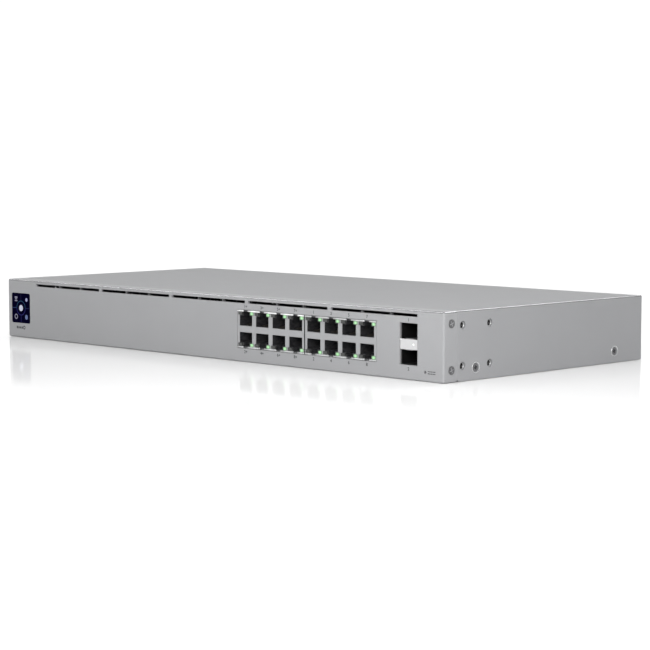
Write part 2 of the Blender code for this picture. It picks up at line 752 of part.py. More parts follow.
# ---------------------------------------------------------------- RJ45 blocks
# A block's own frame: middle of its front face, +Y to the rear. Heights count from the middle
# of the two rows, and the lower row mirrors the upper one.


def mirrored(outline, row):
    """An outline of the upper row, or the same in the lower row."""
    return [(u, v * row) for u, v in outline]


def shield_opening(middle):
    """Opening in the shield: plug mouth, LED corners and the stepped latch notch."""
    top = BLOCK_HEIGHT / 2 + GAP
    right = [
        (SOCKET_HALF, SOCKET_LOW),
        (SOCKET_HALF, LED_LOW),
        (LED_HALF, LED_LOW),
        (LED_HALF, LED_HIGH),
        (LATCH_HALF, LED_HIGH),
        (LATCH_HALF, top),
    ]
    left = [(-u, v) for u, v in reversed(right)]
    return [(middle + u, v) for u, v in right + left]


def make_jack_shield(name, parent):
    """Folded metal shell round a block, open at the back."""
    half = BLOCK_WIDTH / 2
    tall = BLOCK_HEIGHT / 2
    mesh = box_mesh(name, (-half, half), (0, BLOCK_DEPTH), (-tall, tall))
    shield = place(name, mesh, "tinned_steel", parent)
    cuts = bmesh.new()
    inner_x = half - SHIELD_WALL
    inner_z = tall - SHIELD_WALL
    add_box(cuts, (-inner_x, inner_x), (SHIELD_WALL, BLOCK_DEPTH + GAP), (-inner_z, inner_z))
    combine(shield, cuts, "DIFFERENCE")
    mouths = bmesh.new()
    for row in (-1, 1):
        for middle in port_offsets():
            outline = mirrored(shield_opening(middle), row)
            add_prism(mouths, outline, -GAP, SHIELD_WALL + 2 * GAP, "Y")
    combine(shield, mouths, "DIFFERENCE")


def make_jack_housing(name, parent):
    """Black moulding with the eight sockets, the light pipe grooves and the contact slots."""
    half = BLOCK_WIDTH / 2 - SHIELD_WALL - MOULD_GAP
    tall = BLOCK_HEIGHT / 2 - SHIELD_WALL - MOULD_GAP
    front = SHIELD_WALL + MOULD_GAP
    back = BLOCK_DEPTH - HOUSING_SETBACK
    mesh = box_mesh(name, (-half, half), (front, back), (-tall, tall))
    housing = place(name, mesh, "black_plastic", parent)
    cuts = bmesh.new()
    groove_inner = LATCH_MID_HALF + GROOVE_WALL
    groove_low = SOCKET_HIGH + MOULD_EASE
    groove_high = tall + GAP
    ends = [-half - GAP, *port_offsets(), half + GAP]
    for row in (-1, 1):
        for index in range(PORTS_PER_ROW + 1):
            left = ends[0] if index == 0 else ends[index] + groove_inner
            right = ends[-1] if index == PORTS_PER_ROW else ends[index + 1] - groove_inner
            outline = mirrored(rectangle(left, right, groove_low, groove_high), row)
            add_prism(cuts, outline, -GAP, back + GAP, "Y")
        slot_low = SOCKET_LOW + GAP
        reach = port_offsets()[-1] + CONTACT_COUNT * CONTACT_PITCH / 2 + GAP
        outline = mirrored(rectangle(-reach, reach, slot_low, slot_low + CONTACT_SLOT), row)
        deep = front + SOCKET_DEPTH
        add_prism(cuts, outline, deep - 2 * CARRIER_LENGTH, deep - MOULD_EASE, "Y")
    combine(housing, cuts, "DIFFERENCE")
    sockets = bmesh.new()
    bar_start = PIPE_LENGTH - PIPE_BAR - GAP
    for row in (-1, 1):
        for middle in port_offsets():
            half_mouth = SOCKET_HALF - MOULD_EASE
            right = [
                (half_mouth, SOCKET_LOW + MOULD_EASE),
                (half_mouth, SOCKET_HIGH - GAP),
                (LATCH_MID_HALF, SOCKET_HIGH - GAP),
                (LATCH_MID_HALF, LATCH_MID_HIGH),
            ]
            left = [(-u, v) for u, v in reversed(right)]
            outline = mirrored([(middle + u, v) for u, v in right + left], row)
            add_prism(sockets, outline, -GAP, front + SOCKET_DEPTH, "Y")
        outline = mirrored(rectangle(ends[0], ends[-1], groove_low, groove_high), row)
        add_prism(sockets, outline, bar_start, back + GAP, "Y")
    combine(housing, sockets, "DIFFERENCE")


def make_contacts(name, parent, row):
    """Comb of spring contacts for one row of four sockets, joined by its carrier."""
    front = SHIELD_WALL + MOULD_GAP
    carrier_back = front + SOCKET_DEPTH - 2 * MOULD_GAP
    carrier_front = carrier_back - CARRIER_LENGTH
    lines = [
        (front + CONTACT_START, SOCKET_LOW + CONTACT_RISE[0]),
        (carrier_front, SOCKET_LOW + CONTACT_RISE[1]),
        (carrier_back, SOCKET_LOW + CONTACT_RISE[1]),
    ]
    columns = []
    for middle in port_offsets():
        for index in range(CONTACT_COUNT):
            centre = middle + CONTACT_PITCH * (index - (CONTACT_COUNT - 1) / 2)
            columns.append((centre - CONTACT_WIDTH / 2, centre + CONTACT_WIDTH / 2))
    bm = bmesh.new()
    grid = []
    for left, right in columns:
        grid.append([[bm.verts.new((x, y, z * row)) for y, z in lines] for x in (left, right)])
    for wire in grid:
        for level in range(len(lines) - 1):
            bm.faces.new((wire[0][level], wire[1][level], wire[1][level + 1], wire[0][level + 1]))
    for wire, following in zip(grid, grid[1:]):
        bm.faces.new((wire[1][1], following[0][1], following[0][2], wire[1][2]))
    comb = place(name, finished_mesh(name, bm), "gold_plate", parent)
    thicken = comb.modifiers.new("Sheet", "SOLIDIFY")
    thicken.thickness = CONTACT_THICKNESS
    thicken.offset = 0


def make_light_pipes(name, parent, row):
    """Comb of clear bars from the LEDs to the socket corners, joined at the back."""
    teeth = []
    for middle in port_offsets():
        for side in (-1, 1):
            centre = middle + side * PIPE_OFFSET
            teeth.append((centre - PIPE_WIDTH / 2, centre + PIPE_WIDTH / 2))
    teeth.sort()
    tip = MOULD_EASE
    root = PIPE_LENGTH - PIPE_BAR
    outline = [(teeth[0][0], PIPE_LENGTH), (teeth[0][0], tip), (teeth[0][1], tip)]
    for (_, before), (left, right) in zip(teeth, teeth[1:]):
        outline += [(before, root), (left, root), (left, tip), (right, tip)]
    outline.append((teeth[-1][1], PIPE_LENGTH))
    middle = (LED_LOW + LED_HIGH) / 2
    bm = bmesh.new()
    add_prism(bm, outline, row * (middle - PIPE_HEIGHT / 2), row * (middle + PIPE_HEIGHT / 2), "Z")
    place(name, finished_mesh(name, bm), "clear_plastic", parent)


def make_jack_blocks(frame):
    """Both RJ45 blocks."""
    for side_name, centre in zip(("left", "right"), block_centres()):
        block = empty("jack_block_" + side_name, frame, (centre, FRONT + JACK_RECESS, ROW_MID))
        make_jack_shield("jack_shield_" + side_name, block)
        make_jack_housing("jack_housing_" + side_name, block)
        for row_name, row in (("upper", 1), ("lower", -1)):
            make_contacts(f"jack_contacts_{side_name}_{row_name}", block, row)
            make_light_pipes(f"light_pipes_{side_name}_{row_name}", block, row)


# ---------------------------------------------------------------- SFP cage


def make_sfp_cage(frame):
    """Two bays one above the other, with the bright folded band between them."""
    half = SFP_WIDTH / 2
    front = FRONT + JACK_RECESS
    back = front + SFP_DEPTH
    mesh = box_mesh("sfp_cage", (-half, half), (front, back), (SFP_BOTTOM, SFP_TOP))
    cage = place("sfp_cage", mesh, "bright_steel", frame, (SFP_X, 0, 0))
    bays = bmesh.new()
    inner = half - SFP_WALL
    bay_end = back - CAGE_BACK
    add_box(bays, (-inner, inner), (front - GAP, bay_end), (BAND_TOP, SFP_TOP - SFP_WALL))
    add_box(bays, (-inner, inner), (front - GAP, bay_end), (SFP_BOTTOM + SFP_WALL, BAND_BOTTOM))
    hollow = (BAND_BOTTOM + SFP_WALL, BAND_TOP - SFP_WALL)
    add_box(bays, (-inner, inner), (front + SFP_WALL, back + GAP), hollow)
    combine(cage, bays, "DIFFERENCE")
    mouths = bmesh.new()
    recess = (front - GAP, FRONT + BEZEL_FACE + GAP)
    add_box(mouths, (-half - GAP, half + GAP), recess, (BAND_TOP, SFP_TOP + GAP))
    add_box(mouths, (-half - GAP, half + GAP), recess, (SFP_BOTTOM - GAP, BAND_BOTTOM))
    combine(cage, mouths, "DIFFERENCE")
    slots = bmesh.new()
    reach = LATCH_WIDTH / 2 + GAP
    slot = (front + SFP_WALL + LATCH_SPACE, front + SFP_WALL + 2 * GAP + LATCH_LENGTH)
    add_box(slots, (-reach, reach), slot, (BAND_BOTTOM - SFP_WALL, BAND_BOTTOM + 2 * SFP_WALL))
    add_box(slots, (-reach, reach), slot, (BAND_TOP - 2 * SFP_WALL, BAND_TOP + SFP_WALL))
    combine(cage, slots, "DIFFERENCE")


def make_sfp_latch(name, frame, height, row):
    """Spring finger with a lip at its tip; its origin is on the line it bends about."""
    thickness = SFP_WALL
    outline = [
        (0, -thickness / 2),
        (0, thickness / 2),
        (-LATCH_LENGTH + LATCH_RAMP, thickness / 2),
        (-LATCH_LENGTH + LATCH_TIP, thickness / 2 + LATCH_LIP),
        (-LATCH_LENGTH, thickness / 2 + LATCH_LIP),
        (-LATCH_LENGTH, -thickness / 2),
    ]
    bm = bmesh.new()
    add_prism(bm, [(u, v * row) for u, v in outline], -LATCH_WIDTH / 2, LATCH_WIDTH / 2, "X")
    hinge = FRONT + JACK_RECESS + SFP_WALL + LATCH_SPACE + GAP + LATCH_LENGTH
    mesh = finished_mesh(name, bm)
    place(name, mesh, "bright_steel", frame, (SFP_X, hinge, height))


def make_sfp_connector(name, frame, low):
    """Edge connector at the end of a bay."""
    half = SFP_WIDTH / 2 - SFP_WALL - CONNECTOR_WALL
    end = FRONT + JACK_RECESS + SFP_DEPTH - CAGE_BACK - GAP
    start = end - CONNECTOR_LENGTH
    mesh = box_mesh(name, (-half, half), (start, end), (low, low + CONNECTOR_HEIGHT))
    connector = place(name, mesh, "black_plastic", frame, (SFP_X, 0, 0))
    slot = bmesh.new()
    across = (-half + CONNECTOR_WALL, half - CONNECTOR_WALL)
    add_box(
        slot, across, (start - GAP, end - CARD_SLOT_END), (low + CARD_SLOT[0], low + CARD_SLOT[1])
    )
    combine(connector, slot, "DIFFERENCE")


def make_sfp(frame):
    """Cage, latches and connectors."""
    make_sfp_cage(frame)
    make_sfp_latch("sfp_latch_upper", frame, BAND_TOP - SFP_WALL / 2, 1)
    make_sfp_latch("sfp_latch_lower", frame, BAND_BOTTOM + SFP_WALL / 2, -1)
    make_sfp_connector("sfp_connector_upper", frame, BAND_TOP + CONNECTOR_LIFT)
    make_sfp_connector("sfp_connector_lower", frame, BAND_BOTTOM - CONNECTOR_LIFT - CONNECTOR_HEIGHT)


# ---------------------------------------------------------------- reset button


def make_reset(frame):
    """Side-actuated switch under the main board, with the plunger behind the pinhole."""
    spot = (RESET_X, BEHIND_FACE + SWITCH_SETBACK, RESET_Z)
    body_high = BOARD_BOTTOM - GAP - RESET_Z
    mesh = box_mesh(
        "reset_switch", (-SWITCH_HALF, SWITCH_HALF), (0, SWITCH_DEPTH), (-SWITCH_DROP, body_high)
    )
    body = place("reset_switch", mesh, "black_plastic", frame, spot)
    bore = bmesh.new()
    radius = PLUNGER_RADIUS + PLUNGER_EASE
    hole = [(0, -GAP), (radius, -GAP), (radius, SWITCH_BORE), (0, SWITCH_BORE)]
    add_turned(bore, hole, (0, 0), "Y", PLUNGER_SIDES)
    combine(body, bore, "DIFFERENCE")
    bm = bmesh.new()
    tip, end = PLUNGER_REACH
    profile = [(0, tip), (PLUNGER_RADIUS, tip), (PLUNGER_RADIUS, end), (0, end)]
    add_turned(bm, profile, (0, 0), "Y", PLUNGER_SIDES)
    place("reset_button", finished_mesh("reset_button", bm), "black_plastic", frame, spot)


# ---------------------------------------------------------------- boards and what is on them


def board_mesh(name, area, holes):
    """A circuit board and the cutter for its support holes."""
    mesh = box_mesh(name, area[0], area[1], (BOARD_BOTTOM, BOARD_TOP))
    cuts = bmesh.new()
    for spot in holes:
        outline = circle(spot, BOARD_HOLE, SUPPORT_SIDES)
        add_prism(cuts, outline, BOARD_BOTTOM - GAP, BOARD_TOP + GAP, "Z")
    return mesh, cuts


def make_chip(name, frame, spec):
    """A chip on the main board, with its top edges chamfered."""
    centre, size, height = spec
    low = BOARD_TOP + GAP

    def top_edge(middle, direction):
        return middle.z > low + height - CHIP_EDGE and abs(direction.z) < CHIP_EDGE

    half_x, half_y = size[0] / 2, size[1] / 2
    mesh = bevelled_box(
        name, (-half_x, half_x), (-half_y, half_y), (low, low + height), CHIP_CHAMFER, top_edge, 1
    )
    place(name, mesh, "chip_black", frame, (*centre, 0))


def heat_sink(name, frame, centre, size, low, fins):
    """Finned aluminium block, its fins along Y."""
    width, length, height = size
    pitch = width / fins
    fin = pitch * FIN_SHARE
    points = [(-width / 2, 0), (width / 2, 0)]
    for index in range(fins):
        right = width / 2 - index * pitch
        left = right - fin if index < fins - 1 else -width / 2
        points += [(right, height), (left, height)]
        if index < fins - 1:
            points += [(left, SINK_BASE), (right - pitch, SINK_BASE)]
    bm = bmesh.new()
    add_prism(bm, points, -length / 2, length / 2, "Y")
    place(name, finished_mesh(name, bm), "aluminium", frame, (centre[0], centre[1], low))


def make_board_supports(frame):
    """Nylon supports under both boards, each snapped through its board with a barbed head."""
    foot = TRAY_WALL + SUPPORT_REST
    shoulder = BOARD_BOTTOM - GAP
    head = BOARD_TOP + GAP
    for index, (x, y) in enumerate(MAIN_SUPPORTS + POWER_SUPPORTS):
        name = f"board_support_{index + 1}"
        profile = [
            (0, foot),
            (SUPPORT_RADIUS, foot),
            (SUPPORT_RADIUS, shoulder),
            (SUPPORT_NECK, shoulder),
            (SUPPORT_NECK, head),
            (SUPPORT_BARB, head),
            (SUPPORT_NECK / 2, head + SUPPORT_HEAD),
            (0, head + SUPPORT_HEAD),
        ]
        bm = bmesh.new()
        add_turned(bm, profile, (0, 0), "Z", SUPPORT_SIDES)
        place(name, finished_mesh(name, bm), "black_plastic", frame, (x, y, 0))


def make_main_board(frame):
    """Main board with its chips and heat sink."""
    mesh, cuts = board_mesh("main_board", MAIN_BOARD, MAIN_SUPPORTS)
    board = place("main_board", mesh, "board_green", frame)
    combine(board, cuts, "DIFFERENCE")
    make_chip("switch_chip", frame, SWITCH_CHIP)
    centre, _, height = SWITCH_CHIP
    low = BOARD_TOP + GAP + height + GAP
    heat_sink("switch_heat_sink", frame, centre, SWITCH_SINK, low, SWITCH_SINK_FINS)
    make_chip("processor_chip", frame, PROCESSOR_CHIP)
    make_chip("memory_chip", frame, MEMORY_CHIP)


def make_power_supply(frame):
    """Power board, insulating sheet, wound parts, capacitors and heat sink."""
    mesh, cuts = board_mesh("power_board", POWER_BOARD, POWER_SUPPORTS)
    board = place("power_board", mesh, "board_green", frame)
    combine(board, cuts, "DIFFERENCE")
    (left, right), (near, far) = POWER_BOARD
    sheet_low = TRAY_WALL + GAP
    mesh = box_mesh(
        "insulating_sheet", (left + SHEET_MARGIN, right - SHEET_MARGIN),
        (near + SHEET_MARGIN, far - SHEET_MARGIN), (sheet_low, sheet_low + SHEET_THICKNESS),
    )
    sheet = place("insulating_sheet", mesh, "amber_film", frame)
    cuts = bmesh.new()
    for spot in POWER_SUPPORTS:
        outline = circle(spot, SUPPORT_RADIUS + 2 * GAP, SUPPORT_SIDES)
        add_prism(cuts, outline, TRAY_WALL, sheet_low + 2 * SHEET_THICKNESS, "Z")
    combine(sheet, cuts, "DIFFERENCE")

    low = BOARD_TOP + GAP
    make_transformer(frame, low)
    for name, centre, radius, height in CAPACITORS:
        groove_low, groove_mid, groove_high = CAN_GROOVE_HEIGHTS
        profile = [
            (0, 0),
            (radius, 0),
            (radius, groove_low),
            (radius - CAN_GROOVE, groove_mid),
            (radius, groove_high),
            (radius, height - CAN_BEAD),
            (radius - CAN_BEAD, height),
            (0, height),
        ]
        bm = bmesh.new()
        add_turned(bm, profile, (0, 0), "Z")
        place(name, finished_mesh(name, bm), "chip_black", frame, (*centre, low))

    bm = bmesh.new()
    torus_ring(bm, *CHOKE_RADII, *CHOKE_STEPS)
    mesh = finished_mesh("line_choke", bm)
    place("line_choke", mesh, "copper_wire", frame, (*CHOKE_SPOT, low + CHOKE_RADII[1] + GAP / 3))
    heat_sink("power_heat_sink", frame, POWER_SINK_SPOT, POWER_SINK, low, POWER_SINK_FINS)


def make_transformer(frame, low):
    """Ferrite core on its bobbin, with the winding between the core's legs."""
    half_x, half_y = CORE_HALF
    core = box_mesh("transformer", (-half_x, half_x), (-half_y, half_y), CORE_HEIGHTS)
    transformer = place("transformer", core, "chip_black", frame, (*TRANSFORMER_SPOT, low))
    foot = bmesh.new()
    half_x, half_y = BOBBIN_HALF
    add_box(foot, (-half_x, half_x), (-half_y, half_y), (0, BOBBIN_HEIGHT))
    combine(transformer, foot, "UNION")
    winding = bmesh.new()
    bottom, top = WINDING_HEIGHTS
    profile = [(0, bottom), (WINDING_RADIUS, bottom), (WINDING_RADIUS, top), (0, top)]
    add_turned(winding, profile, (0, 0), "Z")
    combine(transformer, winding, "UNION")


def torus_ring(bm, major, minor, around, sides):
    """A closed ring lying flat."""
    rings = []
    for index in range(around):
        turn = 2 * pi * index / around
        ring = []
        for u, v in circle((major, 0), minor, sides):
            ring.append(bm.verts.new((u * cos(turn), u * sin(turn), v)))
        rings.append(ring)
    for index, ring in enumerate(rings):
        following = rings[(index + 1) % around]
        for side in range(sides):
            other = (side + 1) % sides
            bm.faces.new((ring[side], following[side], following[other], ring[other]))


def make_dc_harness(frame):
    """Wire bundle from the power board to the main board, in one smooth rise and fall."""
    curve = bpy.data.curves.new("dc_harness", "CURVE")
    curve.dimensions = "3D"
    curve.bevel_depth = HARNESS_RADIUS
    curve.bevel_resolution = 2
    curve.use_fill_caps = True
    curve.resolution_u = 1
    curve.render_resolution_u = 0
    start_x = POWER_BOARD[0][1] - HARNESS_INSET
    end_x = MAIN_BOARD[0][0] + HARNESS_INSET
    spline = curve.splines.new("POLY")
    spline.points.add(HARNESS_STEPS)
    for step in range(HARNESS_STEPS + 1):
        t = step / HARNESS_STEPS
        height = BOARD_TOP + HARNESS_LIFT + HARNESS_RISE * sin(pi * t)
        x = start_x + (end_x - start_x) * t
        spline.points[step].co = (x, HARNESS_DRIFT * t, height, 1)
    harness = bpy.data.objects.new("dc_harness", curve)
    bpy.context.scene.collection.objects.link(harness)
    curve.materials.append(make_material("dc_harness", "red_wire"))
    harness.parent = frame


# ---------------------------------------------------------------- mains inlet


def inlet_outline(width, height, chamfer=0):
    """Outline of the inlet or its mouth, with the two lower corners cut off."""
    half, tall = width / 2, height / 2
    points = [
        (half, tall), (-half, tall), (-half, -tall + chamfer), (-half + chamfer, -tall),
        (half - chamfer, -tall), (half, -tall + chamfer),
    ]
    if chamfer == 0:
        points = rectangle(-half, half, -tall, tall)
    return [(INLET_X + u, INLET_Z + v) for u, v in points]


def make_inlet(frame):
    """Mains inlet flush in the rear wall, and its three flat pins."""
    face = REAR - INLET_SUNK
    bm = bmesh.new()
    add_prism(bm, inlet_outline(INLET_WIDTH, INLET_HEIGHT), face - INLET_LENGTH, face, "Y")
    inlet = place("mains_inlet", finished_mesh("mains_inlet", bm), "black_plastic", frame)
    mouth = bmesh.new()
    outline = inlet_outline(INLET_MOUTH_WIDTH, INLET_MOUTH_HEIGHT, INLET_CHAMFER)
    floor = face - INLET_MOUTH_DEPTH
    add_prism(mouth, outline, floor, face + GAP, "Y")
    combine(inlet, mouth, "DIFFERENCE")
    pins = (("live", -PIN_SPACING, -PIN_RISE), ("earth", 0, PIN_RISE), ("neutral", PIN_SPACING, -PIN_RISE))
    sockets = bmesh.new()
    for name, across, up in pins:
        half_x, half_z = PIN_SIZE[0] / 2, PIN_SIZE[1] / 2
        x, z = INLET_X + across, INLET_Z + up
        low, high = z - half_z, z + half_z
        add_box(
            sockets, (x - half_x - GAP, x + half_x + GAP), (face - INLET_LENGTH - GAP, face),
            (low - GAP, high + GAP),
        )
        node = "inlet_pin_" + name
        mesh = bevelled_box(
            node, (-half_x, half_x), (face - INLET_LENGTH, face - PIN_SETBACK[name]), (-half_z, half_z),
            PIN_TIP_RADIUS, pin_tip_edge, 2,
        )
        place(node, mesh, "bright_steel", frame, (x, 0, z))
    combine(inlet, sockets, "DIFFERENCE")


def pin_tip_edge(middle, direction):
    """The edges round the free end of an inlet pin."""
    return middle.y > REAR - 2 * max(PIN_SETBACK.values()) and abs(direction.y) < PIN_TIP_RADIUS / 2


def make_ground_screw(frame):
    """Flat-head ground screw in the rear wall."""
    spot = (GROUND_SCREW[0], REAR - BEZEL_SCREW_SUNK, GROUND_SCREW[1])
    screw = place("ground_screw", screw_mesh("ground_screw"), "screw_steel", frame, spot)
    screw.rotation_euler = (-pi / 2, 0, 0)
    add_cross_recess(screw)


def main():
    """Build the whole switch."""
    clear_scene()
    frame = empty("switch_frame")
    make_front_bezel(frame)
    make_top_cover(frame)
    make_base_tray(frame)
    make_side_screws(frame)
    make_ground_screw(frame)
    make_screen(frame)
    make_jack_blocks(frame)
    make_sfp(frame)
    make_reset(frame)
    make_board_supports(frame)
    make_main_board(frame)
    make_power_supply(frame)
    make_dc_harness(frame)
    make_inlet(frame)
    bpy.context.view_layer.update()


main()
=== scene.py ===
"""Looks of the rack network switch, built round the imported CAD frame."""

import json
from math import cos, pi, radians, sin

import bmesh
import bpy
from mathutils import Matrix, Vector


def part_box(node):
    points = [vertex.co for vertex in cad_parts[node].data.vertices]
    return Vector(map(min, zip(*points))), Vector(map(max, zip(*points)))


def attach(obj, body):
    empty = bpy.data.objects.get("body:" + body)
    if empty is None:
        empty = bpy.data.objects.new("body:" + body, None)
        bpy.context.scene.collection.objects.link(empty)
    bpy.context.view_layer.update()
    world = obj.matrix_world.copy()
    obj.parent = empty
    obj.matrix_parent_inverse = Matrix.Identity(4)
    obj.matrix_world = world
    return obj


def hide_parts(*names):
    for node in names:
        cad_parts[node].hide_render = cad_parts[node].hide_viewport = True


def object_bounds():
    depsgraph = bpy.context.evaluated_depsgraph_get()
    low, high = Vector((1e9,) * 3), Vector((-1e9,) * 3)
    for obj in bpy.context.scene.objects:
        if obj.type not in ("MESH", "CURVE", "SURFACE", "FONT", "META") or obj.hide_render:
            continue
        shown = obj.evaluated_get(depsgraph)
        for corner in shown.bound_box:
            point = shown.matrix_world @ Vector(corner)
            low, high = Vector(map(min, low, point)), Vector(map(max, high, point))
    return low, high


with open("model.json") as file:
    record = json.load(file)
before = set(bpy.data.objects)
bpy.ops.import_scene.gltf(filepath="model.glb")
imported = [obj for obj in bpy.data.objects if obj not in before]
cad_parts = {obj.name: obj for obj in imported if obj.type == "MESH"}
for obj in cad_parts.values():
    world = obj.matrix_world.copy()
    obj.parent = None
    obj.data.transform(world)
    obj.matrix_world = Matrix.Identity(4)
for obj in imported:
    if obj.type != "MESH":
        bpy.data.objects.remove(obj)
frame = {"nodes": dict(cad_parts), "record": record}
cad_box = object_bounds()

MM = 0.001
WHITE = (1, 1, 1, 1)
GROUND = Vector(cad_box[0]).z

# Camera: place in metres, turn about Z and tilt down in degrees, lens and sensor width in millimetres
CAMERA_SPOT = (1.0151, -0.9939, 0.1409)
CAMERA_TURN = 45.05
CAMERA_TILT = 5.03
CAMERA_LENS = 110.07
SENSOR = 36.0

# Studio: the room's plain level, and the level of the backdrop that only the camera sees
ROOM_BASE = 0.46
BACKDROP = 1.05
# The room's lamps: where each comes from, the cosines between which it rises, and its level
ROOM = (
    ((-0.706, 0.708, 0), (0.6, 0.95), 1.10),
    ((0, 0, 1), (0.2, 0.8), 0.62),
    ((-0.718, -0.10, 0.689), (0.987, 0.9985), 8.5),
    ((0.05, 0.70, 0.71), (0.97, 0.99), 7.0),
    ((0.70, -0.70, 0.06), (0.97, 0.99), 3.0),
    ((0.75, 0.0, 0.66), (0.96, 0.985), 3.0),
)
# Softboxes: name, place, target, size and power; the overhead one stays out of reflections
OVERHEAD = "overhead"
SOFTBOXES = (
    (OVERHEAD, (0, 0, 2.2), (0, 0, 0), (2.2, 2.2), 4.3),
    ("front_right", (0.60, -0.70, 0.38), (0.05, 0, 0.02), (0.4, 0.4), 6.3),
    ("front_left", (-0.9, -1.0, 0.35), (-0.15, -0.1, 0.0), (0.5, 0.4), 1.3),
)
FLOOR_REACH = 30
FLOOR_DROP = 0.05 * MM
FLOOR_WHITE = (0.95, 0.95, 0.95, 1)
FLOOR_ROUGH = 0.07
FLOOR_IOR = 1.15
# The floor's own light grows to FLOOR_FAR between these two distances from its middle
FLOOR_FADE = (0.7, 2.2)
FLOOR_FAR = 0.7

# Materials: the middle range of a noise, how much broader the broad mottle is, and the roughness swing
NOISE_RANGE = (0.3, 0.7)
FINE_DETAIL = 3.0
BROAD_DETAIL = 2.0
BROADER = 60
ROUGH_SWING = 0.05
FINE_RELIEF = 0.01 * MM
# Metal darkened with depth as painted shade, and black moulding with lighter streaks as painted sheen: grain
# in lumps per metre, its stretch, and how far it shows
DEPTH_SHADE_GRAIN = 1500
DEPTH_SHADE_STRETCH = (6, 1, 1)
DEPTH_SHADE_RIPPLE = 0.06
DEPTH_SHADE_SWING = 0.04
STREAK_BROAD = 420
STREAK_STRETCH = (0.45, 1, 2.2)
STREAK_FINE = 2200
STREAK_SWING = 0.06
STREAK_SPECULAR = 0.4
# Lit pieces: the share of full light or of the reach at their dimmest, their bodies and their gloss
GLOW_GRAIN = 900
GLOW_DIM = 0.8
GLOW_ROUGH = 0.3
GLOW_SPECULAR = 0.05
TIP_GRAIN = 1400
TIP_CORE = 0.2
TIP_RIM = 0.25
TIP_DIM = 0.9
TIP_BODY = (0.10, 0.15, 0.10, 1)
TIP_ROUGH = 0.35
# Folded edges: how far a fold reaches, how much of that is at full sheen, and the sheen
BEZEL_FOLD = 1.4 * MM
COVER_FOLD = 1.0 * MM
FOLD_CORE = 0.7
BEZEL_FOLD_ROUGH = 0.25
COVER_FOLD_ROUGH = 0.2
FOLD_METALLIC = 0.8

# Case, from the CAD frame
BEZEL_LOW, BEZEL_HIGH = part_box("front_bezel")
FRONT = BEZEL_LOW.y
SIDE = BEZEL_HIGH.x
TOP = BEZEL_HIGH.z
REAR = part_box("top_cover")[1].y
INK_RISE = 0.02 * MM

# Finer copies of CAD nodes: the merge distance, and the angles of a flat joint and of an edge to break
MERGE = 0.001 * MM
FLAT_ANGLE = radians(0.5)
EDGE_ANGLE = radians(50)
EDGE_SEGMENTS = 2
SHADING_WEIGHT = 100
PANEL_EDGE = 0.10 * MM
INLET_EDGE = 0.25 * MM
SHIELD_EDGE = 0.06 * MM
CAGE_EDGE = 0.08 * MM
LATCH_EDGE = 0.06 * MM

# Angles in degrees from which an edge is shaded sharp: on a plain piece, a rolled rim and a dome
SHARP = 35
SHARP_RIM = 60
SHARP_DOME = 80

# Sockets
PORTS_PER_ROW = 4
PORT_PITCH = 15.85 * MM
PIPE_OFFSET = 5.7 * MM
TIP_SIZE = (3.5 * MM, 1.95 * MM)
TIP_MIDDLE = 10.5 * MM
NOTCH_HALF = 2.1 * MM
BEAD_RADIUS = 0.55 * MM
BEAD_MIDDLE = 12.15 * MM
BEAD_DOME = 0.6
BEAD_INSET = 0.35 * BEAD_RADIUS
BEAD_SINK = 0.02 * MM
BEAD_END = 0.15 * MM
BEAD_SIDES = 12
SEAM_HALF = 0.42 * MM
TIP_CORNER = 0.4 * MM
TIP_SINK = 0.05 * MM
# Scale and height of the domed tip, and of the seam's front
TIP_LAYERS = ((0.55, -0.09 * MM), (0.85, -0.06 * MM), (1.0, 0), (1.0, 0.04 * MM))
SEAM_LAYERS = ((0.98, FRONT + 0.05 * MM), (1, FRONT + 0.1 * MM), (1, FRONT + 0.6 * MM))
SEAM_CORNER = 0.2 * MM

# Dimple and corner tab of the SFP cage's band, placed from the cage's middle, or across from its left side
DIMPLE_SPOT = (3.9 * MM, -0.2 * MM)
DIMPLE_RADIUS = 0.75 * MM
DIMPLE_SIDES = 20
TAB_SPOT = (0.6 * MM, 2.75 * MM)
TAB_SIZE = (1.0 * MM, 0.9 * MM, 0.35 * MM)
# Their shape, as (scale, height) from the tip in
DOME = ((0.2, -0.35), (0.6, -0.28), (0.85, -0.15), (1, 0.02))

# Screen pane, which fills its hole
SCREEN_HALF = 11.27 * MM
SCREEN_CORNER = 1.48 * MM
SCREEN_FRONT = FRONT + 0.04 * MM
SCREEN_CHAMFER = 0.06 * MM

# What the screen shows: sizes about its middle
DISC_RADIUS = 2.35 * MM
DISC_SIDES = 32
DISC_FACE = 0.96
RING_RADIUS = 5.3 * MM
RING_HALF = 0.3 * MM
RING_STEP = 10
RING_STEPS = 18
LINE_HALF = 0.22 * MM
LINE_GAP = 0.5 * MM
LINE_END = 0.4 * MM
SIGN_LEFT, SIGN_RIGHT = -6.1 * MM, 6.7 * MM
SIGN_TOP, SIGN_LOW = 6.5 * MM, -6.6 * MM
LIST_BARS = ((3.4, 1.2), (2.6, 0.8), (3.2, 0.85))
LIST_FIRST = 1.45
LIST_PITCH = 1.3
LIST_CORNER = 0.3 * MM
DOT_RADIUS = 1.35 * MM
DOT_SHIFT = 0.2 * MM
SIGN_SIDES = 28
SIGN_FACE = 0.95
RING_SIGN = (2.0 * MM, 1.25 * MM)
SHIELD_SIGN = (3.3 * MM, 3.6 * MM, 1.5 * MM)

# Rack-ear holes in each side wall, as (Y, height)
EAR_SPOTS = tuple((y * MM, z * MM) for y in (-82.7, -57.3) for z in (9.65, 34.7))
THREAD_OUTER = 2.03 * MM
THREAD_INNER = 1.7 * MM
THREAD_PITCH = 0.5 * MM
THREAD_START = 1.12 * MM
THREAD_TURNS = 7
THREAD_SIDES = 24
THREAD_GROOVE = 0.22 * MM
THREAD_FIRST = 0.35 * MM
